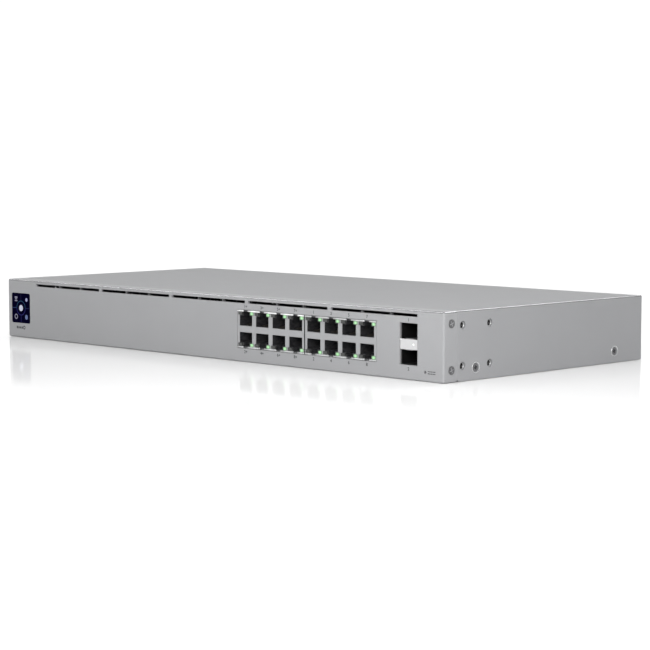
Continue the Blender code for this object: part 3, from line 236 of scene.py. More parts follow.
# Mouth of each bore, as (radius, depth)
THREAD_MOUTH = (
    (THREAD_OUTER, 0),
    (THREAD_OUTER - 0.05 * MM, -0.02 * MM),
    (THREAD_INNER + 0.08 * MM, 0.3 * MM),
)

# Bright seat round each cover screw, as (radius, height over the side)
SEAT_PROFILE = tuple(
    (radius * MM, rise * MM)
    for radius, rise in ((3.46, -0.04), (3.40, 0.06), (3.28, 0.05), (2.78, -0.32), (2.78, -0.42), (3.1, -0.1))
)
SEAT_SIDES = 40

# Cross mark on a screw head in place of its recess, painted dark as shade on the cover's screws and painted
# light on the bezel's: reach and half width of its arms, its turn, and its layers as (scale, rise)
CROSS_SIZE = (1.75 * MM, 0.3 * MM)
CROSS_DARK_SIZE = (1.35 * MM, 0.42 * MM)
CROSS_TURN = radians(20)
CROSS_LAYERS = ((0.97, 0.05), (1, 0.02), (1, -0.05))

# Printed numbers
NUMBER_SIZE = 2.9 * MM
NUMBER_WEIGHT = 0.06 * MM
NUMBER_FINENESS = 3
NUMBERS_ABOVE = 37.1 * MM
NUMBERS_BELOW = 6.9 * MM

# Reset sign: two rows of plain dashes beside the hole
DASHES_AWAY = 2.6 * MM
DASHES = 5
DASH_FIRST = -0.4
DASH_PITCH = 1.3
DASH_LENGTH = 0.95 * MM
DASH_ROWS = ((-0.95 * MM, -0.35 * MM), (0.35 * MM, 0.95 * MM))

# Plain mark under the screen: a row of bars and a ring
MARK_SHIFT = 0.4 * MM
MARK_HEIGHT = 7.5 * MM
MARK_BARS = (1.9, 1.6, 1.6, 1.8)
MARK_TALLEST = 2
MARK_PITCH = 2.0 * MM
MARK_FIRST = 2.55
MARK_BAR_WIDTH = 1.45 * MM
MARK_BAR_CORNER = 0.3 * MM
MARK_BAR_SHIFT = 0.7 * MM
MARK_RING = (1.45 * MM, 0.75 * MM)
MARK_RING_SIDES = 24
MARK_RING_SPOT = (4.2 * MM, 0.1 * MM)

# Rear: dark dust screens behind the vents, a blank label and the earth sign
REAR_VENTS = 4
REAR_VENT_FIRST = -62.0 * MM
REAR_VENT_PITCH = 72.0 * MM
REAR_VENT_MIDDLE = 33.5 * MM
REAR_VENT_SCREEN = (70 * MM, 11 * MM, 1.0 * MM)
REAR_VENT_DEPTHS = (REAR - 1.6 * MM, REAR - 1.2 * MM)
REAR_FACE = (REAR, REAR + 0.05 * MM)
LABEL_SIZE = (58 * MM, 12 * MM, 1.0 * MM)
LABEL_SPOT = (118 * MM, 14 * MM)
EARTH_RISE = 7.5 * MM
EARTH_STEM = 2.2 * MM
EARTH_HALF = 0.25 * MM
EARTH_BARS = (1.9, 1.25, 0.6)
EARTH_FIRST = 0.3
EARTH_PITCH = 0.9


# ---------------------------------------------------------------- node helpers


def new_material(name):
    """An empty node material with its Principled shader."""
    material = bpy.data.materials.new(name)
    material.use_nodes = True
    return material, material.node_tree, material.node_tree.nodes["Principled BSDF"]


def noise(tree, scale, detail, stretch=(1, 1, 1)):
    """Noise in the object's own metres; scale is in lumps per metre."""
    place = tree.nodes.new("ShaderNodeTexCoord")
    mapping = tree.nodes.new("ShaderNodeMapping")
    mapping.inputs["Scale"].default_value = stretch
    texture = tree.nodes.new("ShaderNodeTexNoise")
    texture.inputs["Scale"].default_value = scale
    texture.inputs["Detail"].default_value = detail
    tree.links.new(place.outputs["Object"], mapping.inputs["Vector"])
    tree.links.new(mapping.outputs["Vector"], texture.inputs["Vector"])
    return texture.outputs["Fac"]


def feed(tree, socket, value):
    """Link an output into a socket, or set the socket to a number."""
    if isinstance(value, bpy.types.NodeSocket):
        tree.links.new(value, socket)
    else:
        socket.default_value = value


def maths(tree, operation, *values):
    """A maths node fed with outputs or numbers."""
    node = tree.nodes.new("ShaderNodeMath")
    node.operation = operation
    for socket, value in zip(node.inputs, values):
        feed(tree, socket, value)
    return node.outputs[0]


def highest(tree, values):
    """The largest of several outputs."""
    most = values[0]
    for value in values[1:]:
        most = maths(tree, "MAXIMUM", most, value)
    return most


def ramp(tree, value, start, end, low, high, smooth=False):
    """Map start..end to low..high, held beyond both ends."""
    node = tree.nodes.new("ShaderNodeMapRange")
    if smooth:
        node.interpolation_type = "SMOOTHSTEP"
    for socket, level in (("From Min", start), ("From Max", end), ("To Min", low), ("To Max", high)):
        node.inputs[socket].default_value = level
    tree.links.new(value, node.inputs["Value"])
    return node.outputs["Result"]


def spread(tree, value, low, high):
    """Map a noise to the range low..high."""
    return ramp(tree, value, *NOISE_RANGE, low, high)


def own_axes(tree):
    """The object's own X, Y and Z in metres."""
    place = tree.nodes.new("ShaderNodeTexCoord")
    parts = tree.nodes.new("ShaderNodeSeparateXYZ")
    tree.links.new(place.outputs["Object"], parts.inputs["Vector"])
    return parts.outputs


def length_from_origin(tree):
    """Distance from the object's own origin in metres."""
    place = tree.nodes.new("ShaderNodeTexCoord")
    node = tree.nodes.new("ShaderNodeVectorMath")
    node.operation = "LENGTH"
    tree.links.new(place.outputs["Object"], node.inputs[0])
    return node.outputs["Value"]


def between(tree, value, first, second):
    """Mix two colours by a value."""
    node = tree.nodes.new("ShaderNodeMix")
    node.data_type = "RGBA"
    node.inputs["A"].default_value = (*first, 1)
    node.inputs["B"].default_value = (*second, 1)
    tree.links.new(value, node.inputs["Factor"])
    return node.outputs["Result"]


def bump(tree, shader, height, distance):
    """Raise the surface by a noise, in metres."""
    node = tree.nodes.new("ShaderNodeBump")
    node.inputs["Distance"].default_value = distance
    tree.links.new(height, node.inputs["Height"])
    tree.links.new(node.outputs["Normal"], shader.inputs["Normal"])


def surface(name, colour, vary, rough, metallic=0.0, grain=2500, height=0.02, stretch=(1, 1, 1), spec=0.5):
    """A material whose colour, roughness and relief all follow a fine grain."""
    material, tree, shader = new_material(name)
    darker = tuple(c * (1 - vary) for c in colour)
    lighter = tuple(min(1.0, c * (1 + vary)) for c in colour)
    fine = noise(tree, grain, FINE_DETAIL, stretch)
    broad = noise(tree, grain / BROADER, BROAD_DETAIL)
    mottle = maths(tree, "MULTIPLY", maths(tree, "ADD", fine, broad), 0.5)
    tinted = between(tree, spread(tree, mottle, 0, 1), darker, lighter)
    tree.links.new(tinted, shader.inputs["Base Color"])
    tree.links.new(spread(tree, fine, rough - ROUGH_SWING, rough + ROUGH_SWING), shader.inputs["Roughness"])
    shader.inputs["Metallic"].default_value = metallic
    shader.inputs["Specular IOR Level"].default_value = spec
    bump(tree, shader, fine, height * MM)
    return material


def glow(name, colour, strength, base):
    """A lit plastic: its own light comes through a faintly mottled body."""
    material, tree, shader = new_material(name)
    mottle = spread(tree, noise(tree, GLOW_GRAIN, BROAD_DETAIL), 0, 1)
    dim = tuple(c * GLOW_DIM for c in colour)
    tree.links.new(between(tree, mottle, dim, colour), shader.inputs["Emission Color"])
    shader.inputs["Emission Strength"].default_value = strength
    shader.inputs["Base Color"].default_value = (*base, 1)
    shader.inputs["Roughness"].default_value = GLOW_ROUGH
    shader.inputs["Specular IOR Level"].default_value = GLOW_SPECULAR
    return material


def bends(tree, pairs):
    """1 on the folded edges and 0 on the flats, alike on both sides of the object's origin.

    Each pair names two axes, the levels where their planes cross, and how far the fold reaches.
    """
    parts = own_axes(tree)
    masks = []
    for axes, spot, radius in pairs:
        squares = []
        for axis, level in zip(axes, spot):
            away = maths(tree, "SUBTRACT", maths(tree, "ABSOLUTE", parts[axis]), abs(level))
            squares.append(maths(tree, "POWER", away, 2))
        distance = maths(tree, "SQRT", maths(tree, "ADD", *squares))
        masks.append(ramp(tree, distance, FOLD_CORE * radius, radius, 1, 0, smooth=True))
    return highest(tree, masks)


def polish(material, pairs, rough, metallic):
    """Give the folded edges of a painted sheet a tighter and brighter sheen than its flats."""
    tree = material.node_tree
    shader = tree.nodes["Principled BSDF"]
    mask = bends(tree, pairs)
    for socket, value in (("Roughness", rough), ("Metallic", metallic)):
        port = shader.inputs[socket]
        mix = tree.nodes.new("ShaderNodeMix")
        mix.inputs["B"].default_value = value
        if port.is_linked:
            tree.links.new(port.links[0].from_socket, mix.inputs["A"])
        else:
            mix.inputs["A"].default_value = port.default_value
        tree.links.new(mask, mix.inputs["Factor"])
        tree.links.new(mix.outputs["Result"], port)


def faded(name, colour, shade_colour, start, end, rough, metallic, axis="Y"):
    """A metal that darkens with its distance along one axis, from start to end: painted shade deeper into a
    hollow.
    """
    material, tree, shader = new_material(name)
    away = maths(tree, "ABSOLUTE", own_axes(tree)[axis])
    depth = ramp(tree, away, abs(start), abs(end), 0, 1)
    fine = noise(tree, DEPTH_SHADE_GRAIN, FINE_DETAIL, DEPTH_SHADE_STRETCH)
    rippled = maths(tree, "MULTIPLY_ADD", fine, DEPTH_SHADE_RIPPLE, depth)
    tree.links.new(between(tree, rippled, colour, shade_colour), shader.inputs["Base Color"])
    tree.links.new(spread(tree, fine, rough - DEPTH_SHADE_SWING, rough + DEPTH_SHADE_SWING), shader.inputs["Roughness"])
    shader.inputs["Metallic"].default_value = metallic
    bump(tree, shader, fine, FINE_RELIEF)
    return material


def lit_tip(name, colour, strength, reach):
    """The lit end of a light pipe: brightest in its middle, in the piece's own axes."""
    material, tree, shader = new_material(name)
    away = length_from_origin(tree)
    fall = ramp(tree, away, TIP_CORE * reach, reach, strength, TIP_RIM * strength, smooth=True)
    tree.links.new(fall, shader.inputs["Emission Strength"])
    mottle = spread(tree, noise(tree, TIP_GRAIN, BROAD_DETAIL), 0, 1)
    dim = tuple(TIP_DIM * c for c in colour)
    tree.links.new(between(tree, mottle, dim, colour), shader.inputs["Emission Color"])
    shader.inputs["Base Color"].default_value = TIP_BODY
    shader.inputs["Roughness"].default_value = TIP_ROUGH
    return material


def streaked(name, dark, light, rough):
    """A black moulding with soft lighter streaks across it, painted in as the sheen that light leaves inside
    the sockets.
    """
    material, tree, shader = new_material(name)
    broad = spread(tree, noise(tree, STREAK_BROAD, BROAD_DETAIL, STREAK_STRETCH), 0, 1)
    fine = noise(tree, STREAK_FINE, FINE_DETAIL)
    tree.links.new(between(tree, broad, dark, light), shader.inputs["Base Color"])
    tree.links.new(spread(tree, fine, rough - STREAK_SWING, rough + STREAK_SWING), shader.inputs["Roughness"])
    shader.inputs["Specular IOR Level"].default_value = STREAK_SPECULAR
    bump(tree, shader, fine, FINE_RELIEF)
    return material


BEZEL = surface("bezel_paint", (0.298, 0.300, 0.307), 0.02, 0.42, 0.06, 2600, 0.006, spec=0.1)
COVER = surface("cover_paint", (0.286, 0.288, 0.295), 0.02, 0.5, 0.05, 2600, 0.006, spec=0.06)
SHIELD = surface("shield_tin", (0.385, 0.389, 0.397), 0.04, 0.36, 0.8, 1800, 0.01, (1, 1, 6))
# Near black, painted as the shade deep inside the SFP bays and the ear-hole bores
PAINTED_SHADE_BLACK = (0.01, 0.01, 0.01)
# The cage's steel turns near black just inside its mouth: painted shade in the bays
CAGE = faded("cage_steel", (0.53, 0.53, 0.535), PAINTED_SHADE_BLACK, FRONT + 0.35 * MM, FRONT + 0.9 * MM, 0.4, 0.3)
LATCH = surface("latch_steel", (0.20, 0.20, 0.205), 0.06, 0.4, 0.5, 2400, 0.006)
BEAD = surface("rolled_tin", (0.88, 0.885, 0.89), 0.02, 0.34, 0.6, 2400, 0.004)
# A darker copy of the rolled tin, painted as shade on the rims away from the upper left
BEAD_PAINTED_SHADE = surface("rolled_tin_painted_shade", (0.52, 0.525, 0.53), 0.04, 0.40, 0.5, 2400, 0.004)
PLASTIC = surface("black_moulding", (0.010, 0.010, 0.011), 0.15, 0.5, 0.0, 2200, 0.01, spec=0.3)
# The sockets' lighter streaks are painted sheen
HOUSING = streaked("socket_moulding", (0.008, 0.008, 0.009), (0.038, 0.038, 0.040), 0.42)
GOLD = surface("contact_gold", (0.10, 0.09, 0.075), 0.10, 0.35, 0.8, 3000, 0.004)
PIPE = surface("light_pipe", (0.050, 0.052, 0.050), 0.12, 0.35, 0.0, 1500, 0.005)
SCREW = surface("screw_zinc", (0.15, 0.15, 0.155), 0.10, 0.38, 0.7, 2500, 0.008)
SCREW_PALE = surface("screw_nickel", (0.15, 0.15, 0.155), 0.08, 0.38, 0.5, 2500, 0.008)
SEAT = surface("screw_seat", (0.85, 0.85, 0.86), 0.06, 0.27, 0.9, 2400, 0.004)
# Lighter than the screw's zinc: painted light in the bezel screws' recesses
CROSS = surface("screw_recess", (0.33, 0.33, 0.34), 0.08, 0.35, 0.6, 2500, 0.006)
# Near black: painted shade in the cover screws' recesses
CROSS_PAINTED_SHADE = surface("screw_recess_painted_shade", (0.03, 0.03, 0.032), 0.15, 0.5, 0.3, 2500, 0.006)
BOARD = surface("board_mask", (0.012, 0.09, 0.045), 0.25, 0.4, 0.0, 900, 0.01)
CHIP = surface("chip_epoxy", (0.018, 0.018, 0.019), 0.2, 0.6, 0.0, 3000, 0.01)
SINK = surface("sink_aluminium", (0.55, 0.56, 0.57), 0.05, 0.4, 1.0, 1800, 0.01, (1, 6, 1))
WOUND = surface("copper_winding", (0.50, 0.22, 0.08), 0.2, 0.35, 0.7, 1400, 0.05)
FILM = surface("amber_film", (0.50, 0.27, 0.05), 0.1, 0.35, 0.0, 900, 0.005)
WIRE = surface("red_wire", (0.45, 0.02, 0.015), 0.1, 0.45, 0.0, 1200, 0.01)
GLASS = surface("screen_glass", (0.0012, 0.0008, 0.0100), 0.2, 0.12, 0.0, 600, 0.0005, spec=0.0)
# The threads' zinc darkens deeper into each bore: painted shade
THREAD = faded("thread_zinc", (0.92, 0.92, 0.93), PAINTED_SHADE_BLACK, SIDE - 0.95 * MM, SIDE - 1.5 * MM, 0.3, 0.6, "X")
INK = surface("printed_ink", (0.06, 0.06, 0.064), 0.2, 0.6, 0.0, 2600, 0.004, spec=0.1)
LABEL = surface("label_film", (0.42, 0.42, 0.43), 0.03, 0.45, 0.0, 1800, 0.004, spec=0.3)
LED = lit_tip("led_green", (0.42, 0.84, 0.40), 0.82, 1.9 * MM)
PANE_BLACK = (0.001, 0.001, 0.004)
DISC = glow("screen_white", (0.66, 0.69, 0.82), 0.84, (0.02, 0.02, 0.03))
RING_TOP = glow("screen_teal", (0.011, 0.054, 0.105), 1.0, PANE_BLACK)
RING_LOW = glow("screen_violet", (0.014, 0.014, 0.115), 1.0, PANE_BLACK)
LINE_LEFT = glow("screen_line_teal", (0.024, 0.050, 0.130), 1.0, PANE_BLACK)
LINE_RIGHT = glow("screen_line_blue", (0.012, 0.017, 0.065), 1.0, PANE_BLACK)
LINE_TOP = glow("screen_line_faint", (0.007, 0.008, 0.035), 1.0, PANE_BLACK)
ICON_GREY = glow("screen_grey", (0.25, 0.25, 0.32), 1.0, (0.01, 0.01, 0.02))
ICON_LILAC = glow("screen_lilac", (0.36, 0.39, 0.58), 1.0, (0.01, 0.01, 0.02))
ICON_BLUE = glow("screen_blue", (0.13, 0.17, 0.33), 1.0, (0.01, 0.01, 0.02))

BY_SLOT = {
    "case_paint": COVER,
    "socket_shield": SHIELD,
    "cage_steel": CAGE,
    "inner_steel": SHIELD,
    "screen_glass": GLASS,
    "black_plastic": PLASTIC,
    "contact_gold": GOLD,
    "light_pipe": PIPE,
    "screw_steel": SCREW,
    "circuit_board": BOARD,
    "chip_epoxy": CHIP,
    "heat_sink_aluminium": SINK,
    "wound_part": WOUND,
    "amber_film": FILM,
    "wire": WIRE,
}


SLOTS = {entry["node"]: entry["material_slot"] for entry in frame["record"]["subparts"]}


# Nodes whose finish differs from the rest of their slot
BY_NODE = {
    "front_bezel": BEZEL,
    "jack_housing_left": HOUSING,
    "jack_housing_right": HOUSING,
    "sfp_latch_upper": LATCH,
    "sfp_latch_lower": LATCH,
}


def dress_frame():
    """Give each CAD node its material, and the case's folded edges their sheen."""
    front_fold = (("Y", "Z"), (FRONT, TOP), BEZEL_FOLD)
    bezel_sides = (("X", "Z"), (SIDE, TOP), BEZEL_FOLD)
    cover_sides = (("X", "Z"), (SIDE, TOP), COVER_FOLD)
    polish(BEZEL, (front_fold, bezel_sides), BEZEL_FOLD_ROUGH, FOLD_METALLIC)
    polish(COVER, (cover_sides,), COVER_FOLD_ROUGH, FOLD_METALLIC)
    for name, obj in frame["nodes"].items():
        material = BY_NODE.get(name, BY_SLOT[SLOTS[name]])
        if name.startswith("cover_screw"):
            material = SCREW_PALE
        obj.data.materials.clear()
        obj.data.materials.append(material)


# ---------------------------------------------------------------- shapes


def middle_of(node):
    """Middle of a node's box."""
    low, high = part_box(node)
    return (low + high) / 2


def port_offsets():
    """Middles of a block's sockets from the block's own middle."""
    return [PORT_PITCH * (index - (PORTS_PER_ROW - 1) / 2) for index in range(PORTS_PER_ROW)]


def circle(radius, sides):
    """Points round a circle, anticlockwise from its right."""
    angles = [2 * pi * step / sides for step in range(sides)]
    return [(radius * cos(a), radius * sin(a)) for a in angles]


def rounded_rectangle(width, height, radius, steps=4):
    """Outline of a rectangle with round corners about the origin."""
    points = []
    for quarter in range(4):
        side_u = 1 if quarter in (0, 3) else -1
        side_v = 1 if quarter < 2 else -1
        for step in range(steps + 1):
            turn = pi / 2 * (quarter + step / steps)
            u = side_u * (width / 2 - radius) + radius * cos(turn)
            v = side_v * (height / 2 - radius) + radius * sin(turn)
            points.append((u, v))
    return points


def join_rings(bm, rings, closed=False):
    """Wall a run of rings; a closed run returns to its first ring, and an open one is capped."""
    following = rings[1:] + rings[:1] if closed else rings[1:]
    for near, far in zip(rings, following):
        for index in range(len(near)):
            other = (index + 1) % len(near)
            bm.faces.new((near[index], near[other], far[other], far[index]))
    if not closed:
        bm.faces.new(rings[0])
        bm.faces.new(rings[-1])


def add_layers(bm, outline, middle, layers):
    """Add one closed body facing -Y: an outline at each (scale, y) layer, about a middle (x, z)."""
    rings = []
    for scale, y in layers:
        rings.append([bm.verts.new((middle[0] + u * scale, y, middle[1] + v * scale)) for u, v in outline])
    join_rings(bm, rings)


def add_plate(bm, outline, middle, y):
    """Add one closed flat body between two depths."""
    add_layers(bm, outline, middle, ((1, y[0]), (1, y[1])))


def add_block(bm, x, y, z):
    """Add one closed box from its three ranges."""
    outline = [(x[0], z[0]), (x[1], z[0]), (x[1], z[1]), (x[0], z[1])]
    add_plate(bm, outline, (0, 0), y)


def add_ring(bm, outer, inner, middle, y, sides):
    """Add a flat ring facing -Y."""
    rings = []
    for radius, depth in ((outer, y[0]), (inner, y[0]), (inner, y[1]), (outer, y[1])):
        rings.append([bm.verts.new((middle[0] + u, depth, middle[1] + v)) for u, v in circle(radius, sides)])
    join_rings(bm, rings, closed=True)


def make_piece(name, bm, material, body="chassis", place=(0, 0, 0), sharp=SHARP):
    """A new visual piece that rides on a body."""
    bmesh.ops.recalc_face_normals(bm, faces=bm.faces)
    mesh = bpy.data.meshes.new(name)
    bm.to_mesh(mesh)
    bm.free()
    mesh.materials.append(material)
    mesh.shade_smooth()
    mesh.set_sharp_from_angle(angle=radians(sharp))
    obj = bpy.data.objects.new(name, mesh)
    bpy.context.scene.collection.objects.link(obj)
    obj.location = place
    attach(obj, body)
    return obj


def refine(node, edge, body="chassis"):
    """Replace a CAD node by its finer copy: whole flat faces, broken edges, even shading."""
    source = frame["nodes"][node]
    bm = bmesh.new()
    bm.from_mesh(source.data)
    bmesh.ops.remove_doubles(bm, verts=bm.verts, dist=MERGE)
    bmesh.ops.dissolve_limit(bm, angle_limit=FLAT_ANGLE, verts=bm.verts, edges=bm.edges)
    mesh = bpy.data.meshes.new(node + "_skin")
    bm.to_mesh(mesh)
    bm.free()
    mesh.materials.append(source.data.materials[0])
    mesh.shade_smooth()
    obj = bpy.data.objects.new(node + "_skin", mesh)
    bpy.context.scene.collection.objects.link(obj)
    soften = obj.modifiers.new("Broken edges", "BEVEL")
    soften.width = edge
    soften.segments = EDGE_SEGMENTS
    soften.limit_method = "ANGLE"
    soften.angle_limit = EDGE_ANGLE
    even = obj.modifiers.new("Even shading", "WEIGHTED_NORMAL")
    even.weight = SHADING_WEIGHT
    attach(obj, body)
    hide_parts(node)


# ---------------------------------------------------------------- case details


def make_case():
    """Finer skins of the bezel, cover, tray, mains inlet and screws."""
    for node in ("front_bezel", "top_cover", "base_tray"):
        refine(node, PANEL_EDGE)
    refine("mains_inlet", INLET_EDGE)
    for node in frame["nodes"]:
        if node.startswith(("bezel_screw", "cover_screw", "ground_screw")):
            refine(node, PANEL_EDGE)


def make_ear_threads():
    """Bright threaded bores behind the rack-ear holes, painted darker deeper in as shade."""
    profile = list(THREAD_MOUTH)
    depth = THREAD_FIRST
    for _ in range(THREAD_TURNS):
        profile.append((THREAD_INNER, depth))
        profile.append((THREAD_INNER + THREAD_GROOVE, depth + THREAD_PITCH / 2))
        depth += THREAD_PITCH
    profile.append((THREAD_INNER, depth))
    profile.append((THREAD_OUTER, depth))
    for side_name, sign in (("left", -1), ("right", 1)):
        for index, (y, z) in enumerate(EAR_SPOTS):
            bm = bmesh.new()
            rings = []
            for radius, down in profile:
                x = sign * (SIDE - THREAD_START - down)
                rings.append([bm.verts.new((x, y + u, z + v)) for u, v in circle(radius, THREAD_SIDES)])
            join_rings(bm, rings, closed=True)
            make_piece(f"ear_thread_{side_name}_{index + 1}", bm, THREAD)


def make_recesses():
    """Flat cross marks on the screws' heads: painted light on the bezel's screws, and painted dark as the
    shade of a recess on the cover's, with a bright seat.
    """
    for node in frame["nodes"]:
        if not node.startswith(("bezel_screw", "cover_screw")):
            continue
        low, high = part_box(node)
        sign = 1 if high.x > 0 else -1
        head = high.x if sign > 0 else low.x
        y, z = (low.y + high.y) / 2, (low.z + high.z) / 2
        dark = node.startswith("cover_screw")
        reach, blade = CROSS_DARK_SIZE if dark else CROSS_SIZE
        points = []
        for quarter in range(4):
            for u, v in ((reach, -blade), (reach, blade), (blade, blade)):
                angle = CROSS_TURN + pi / 2 * quarter
                points.append((u * cos(angle) - v * sin(angle), u * sin(angle) + v * cos(angle)))
        bm = bmesh.new()
        rings = []
        for scale, rise in CROSS_LAYERS:
            x = head + sign * rise * MM
            rings.append([bm.verts.new((x, y + u * scale, z + v * scale)) for u, v in points])
        join_rings(bm, rings)
        make_piece(node + "_recess", bm, CROSS_PAINTED_SHADE if dark else CROSS)
        if dark:
            make_seat(node + "_seat", sign, y, z)


def make_seat(name, sign, y, z):
    """Bare bright cone round a cover screw, where the paint is cut away."""
    bm = bmesh.new()
    rings = []
    for radius, rise in SEAT_PROFILE:
        x = sign * (SIDE + rise)
        rings.append([bm.verts.new((x, y + u, z + v)) for u, v in circle(radius, SEAT_SIDES)])
    join_rings(bm, rings, closed=True)
    make_piece(name, bm, SEAT)


def print_number(name, text, x, z):
    """A printed number on the bezel's face."""
    curve = bpy.data.curves.new(name, "FONT")
    curve.body = text
    curve.size = NUMBER_SIZE
    curve.align_x = "CENTER"
    curve.align_y = "CENTER"
    curve.extrude = INK_RISE / 2
    curve.offset = NUMBER_WEIGHT
    curve.resolution_u = NUMBER_FINENESS
    curve.materials.append(INK)
    obj = bpy.data.objects.new(name, curve)
    bpy.context.scene.collection.objects.link(obj)
    obj.location = (x, FRONT - INK_RISE / 2, z)
    obj.rotation_euler = (radians(90), 0, 0)
    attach(obj, "chassis")


def make_print():
    """Socket numbers, the reset sign and a plain mark under the screen."""
    for block, mark in (("left", "+"), ("right", "")):
        port = 1
        for offset in port_offsets():
            x = middle_of("jack_shield_" + block).x + offset
            print_number(f"number_{block}_{port}", str(port) + mark, x, NUMBERS_ABOVE)
            print_number(f"number_{block}_{port + 1}", str(port + 1) + mark, x, NUMBERS_BELOW)
            port += 2
    x = middle_of("sfp_cage").x
    print_number("number_bay_1", "1", x, NUMBERS_ABOVE)
    print_number("number_bay_2", "2", x, NUMBERS_BELOW)

    hole = middle_of("reset_button")
    face = (FRONT - INK_RISE, FRONT)
    bm = bmesh.new()
    for step in range(DASHES):
        left = hole.x + DASHES_AWAY + (DASH_PITCH * step + DASH_FIRST) * MM
        for low, high in DASH_ROWS:
            add_block(bm, (left, left + DASH_LENGTH), face, (hole.z + low, hole.z + high))
    make_piece("reset_sign", bm, INK)

    x = middle_of("screen_glass").x - MARK_SHIFT
    z = MARK_HEIGHT
    bm = bmesh.new()
    for step, tall in enumerate(MARK_BARS):
        left = x + (step - MARK_FIRST) * MARK_PITCH
        outline = rounded_rectangle(MARK_BAR_WIDTH, tall * MM, MARK_BAR_CORNER)
        add_plate(bm, outline, (left + MARK_BAR_SHIFT, z - (MARK_TALLEST - tall) / 4 * MM), face)
    add_ring(bm, *MARK_RING, (x + MARK_RING_SPOT[0], z + MARK_RING_SPOT[1]), face, MARK_RING_SIDES)
    make_piece("screen_mark", bm, INK)


# ---------------------------------------------------------------- sockets


def make_sockets():
    """Shields with rolled rims, the strip between them and the lit ends of the light pipes. All rims but the
    left block's upper ones are painted darker as shade, and the strip is black as painted shade in the gap
    between the blocks.
    """
    for block in ("left", "right"):
        node = "jack_shield_" + block
        low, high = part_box(node)
        middle = (low + high) / 2
        refine(node, SHIELD_EDGE)
        for row_name, row in (("upper", 1), ("lower", -1)):
            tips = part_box(f"light_pipes_{block}_{row_name}")[0].y
            for index, offset in enumerate(port_offsets()):
                bm = bmesh.new()
                add_layers(bm, rounded_rectangle(*TIP_SIZE, TIP_CORNER), (0, 0), TIP_LAYERS)
                spot = (middle.x + offset + PIPE_OFFSET, tips - TIP_SINK, middle.z + row * TIP_MIDDLE)
                name = f"lit_tip_{block}_{row_name}_{index + 1}"
                make_piece(name, bm, LED, place=spot, sharp=SHARP_DOME)
            starts = [low.x + BEAD_END] + [middle.x + offset + NOTCH_HALF for offset in port_offsets()]
            ends = [middle.x + offset - NOTCH_HALF for offset in port_offsets()] + [high.x - BEAD_END]
            bm = bmesh.new()
            for left, right in zip(starts, ends):
                add_bead(bm, left, right, FRONT + BEAD_SINK, middle.z + row * BEAD_MIDDLE)
            # Only the left block's upper rims keep the bright tin; the rest get the darker copy as painted
            # shade
            tin_or_painted_shade = BEAD if (block, row) == ("left", 1) else BEAD_PAINTED_SHADE
            make_piece(f"shield_rim_{block}_{row_name}", bm, tin_or_painted_shade, sharp=SHARP_RIM)
    # A black strip in the gap between the two blocks, as painted shade
    x = (middle_of("jack_shield_left").x + middle_of("jack_shield_right").x) / 2
    low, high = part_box("jack_shield_left")
    bm = bmesh.new()
    outline = rounded_rectangle(2 * SEAM_HALF, high.z - low.z, SEAM_CORNER)
    add_layers(bm, outline, (x, (low.z + high.z) / 2), SEAM_LAYERS)
    make_piece("block_gap_painted_shade", bm, PLASTIC)


def add_bead(bm, left, right, y, z):
    """Add one closed round bar along X, with domed ends."""
    stations = ((left, BEAD_DOME), (left + BEAD_INSET, 1), (right - BEAD_INSET, 1), (right, BEAD_DOME))
    rings = []
    for x, scale in stations:
        rings.append([bm.verts.new((x, y + u, z + v)) for u, v in circle(BEAD_RADIUS * scale, BEAD_SIDES)])
    join_rings(bm, rings)


def make_bays():
    """SFP cage with softened edges, its latches, and the dimple and corner tab of its band."""
    refine("sfp_cage", CAGE_EDGE)
    for row_name in ("upper", "lower"):
        node = "sfp_latch_" + row_name
        refine(node, LATCH_EDGE, body=node)
    low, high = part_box("sfp_cage")
    middle = (low + high) / 2
    dome = [(scale, low.y + rise * MM) for scale, rise in DOME]
    bm = bmesh.new()
    spot = (middle.x + DIMPLE_SPOT[0], middle.z + DIMPLE_SPOT[1])
    add_layers(bm, circle(DIMPLE_RADIUS, DIMPLE_SIDES), spot, dome)
    make_piece("cage_dimple", bm, BEAD, sharp=SHARP_DOME)
    bm = bmesh.new()
    add_layers(bm, rounded_rectangle(*TAB_SIZE), (low.x + TAB_SPOT[0], middle.z + TAB_SPOT[1]), dome)
    make_piece("cage_corner_tab", bm, BEAD, sharp=SHARP_DOME)


# ---------------------------------------------------------------- screen


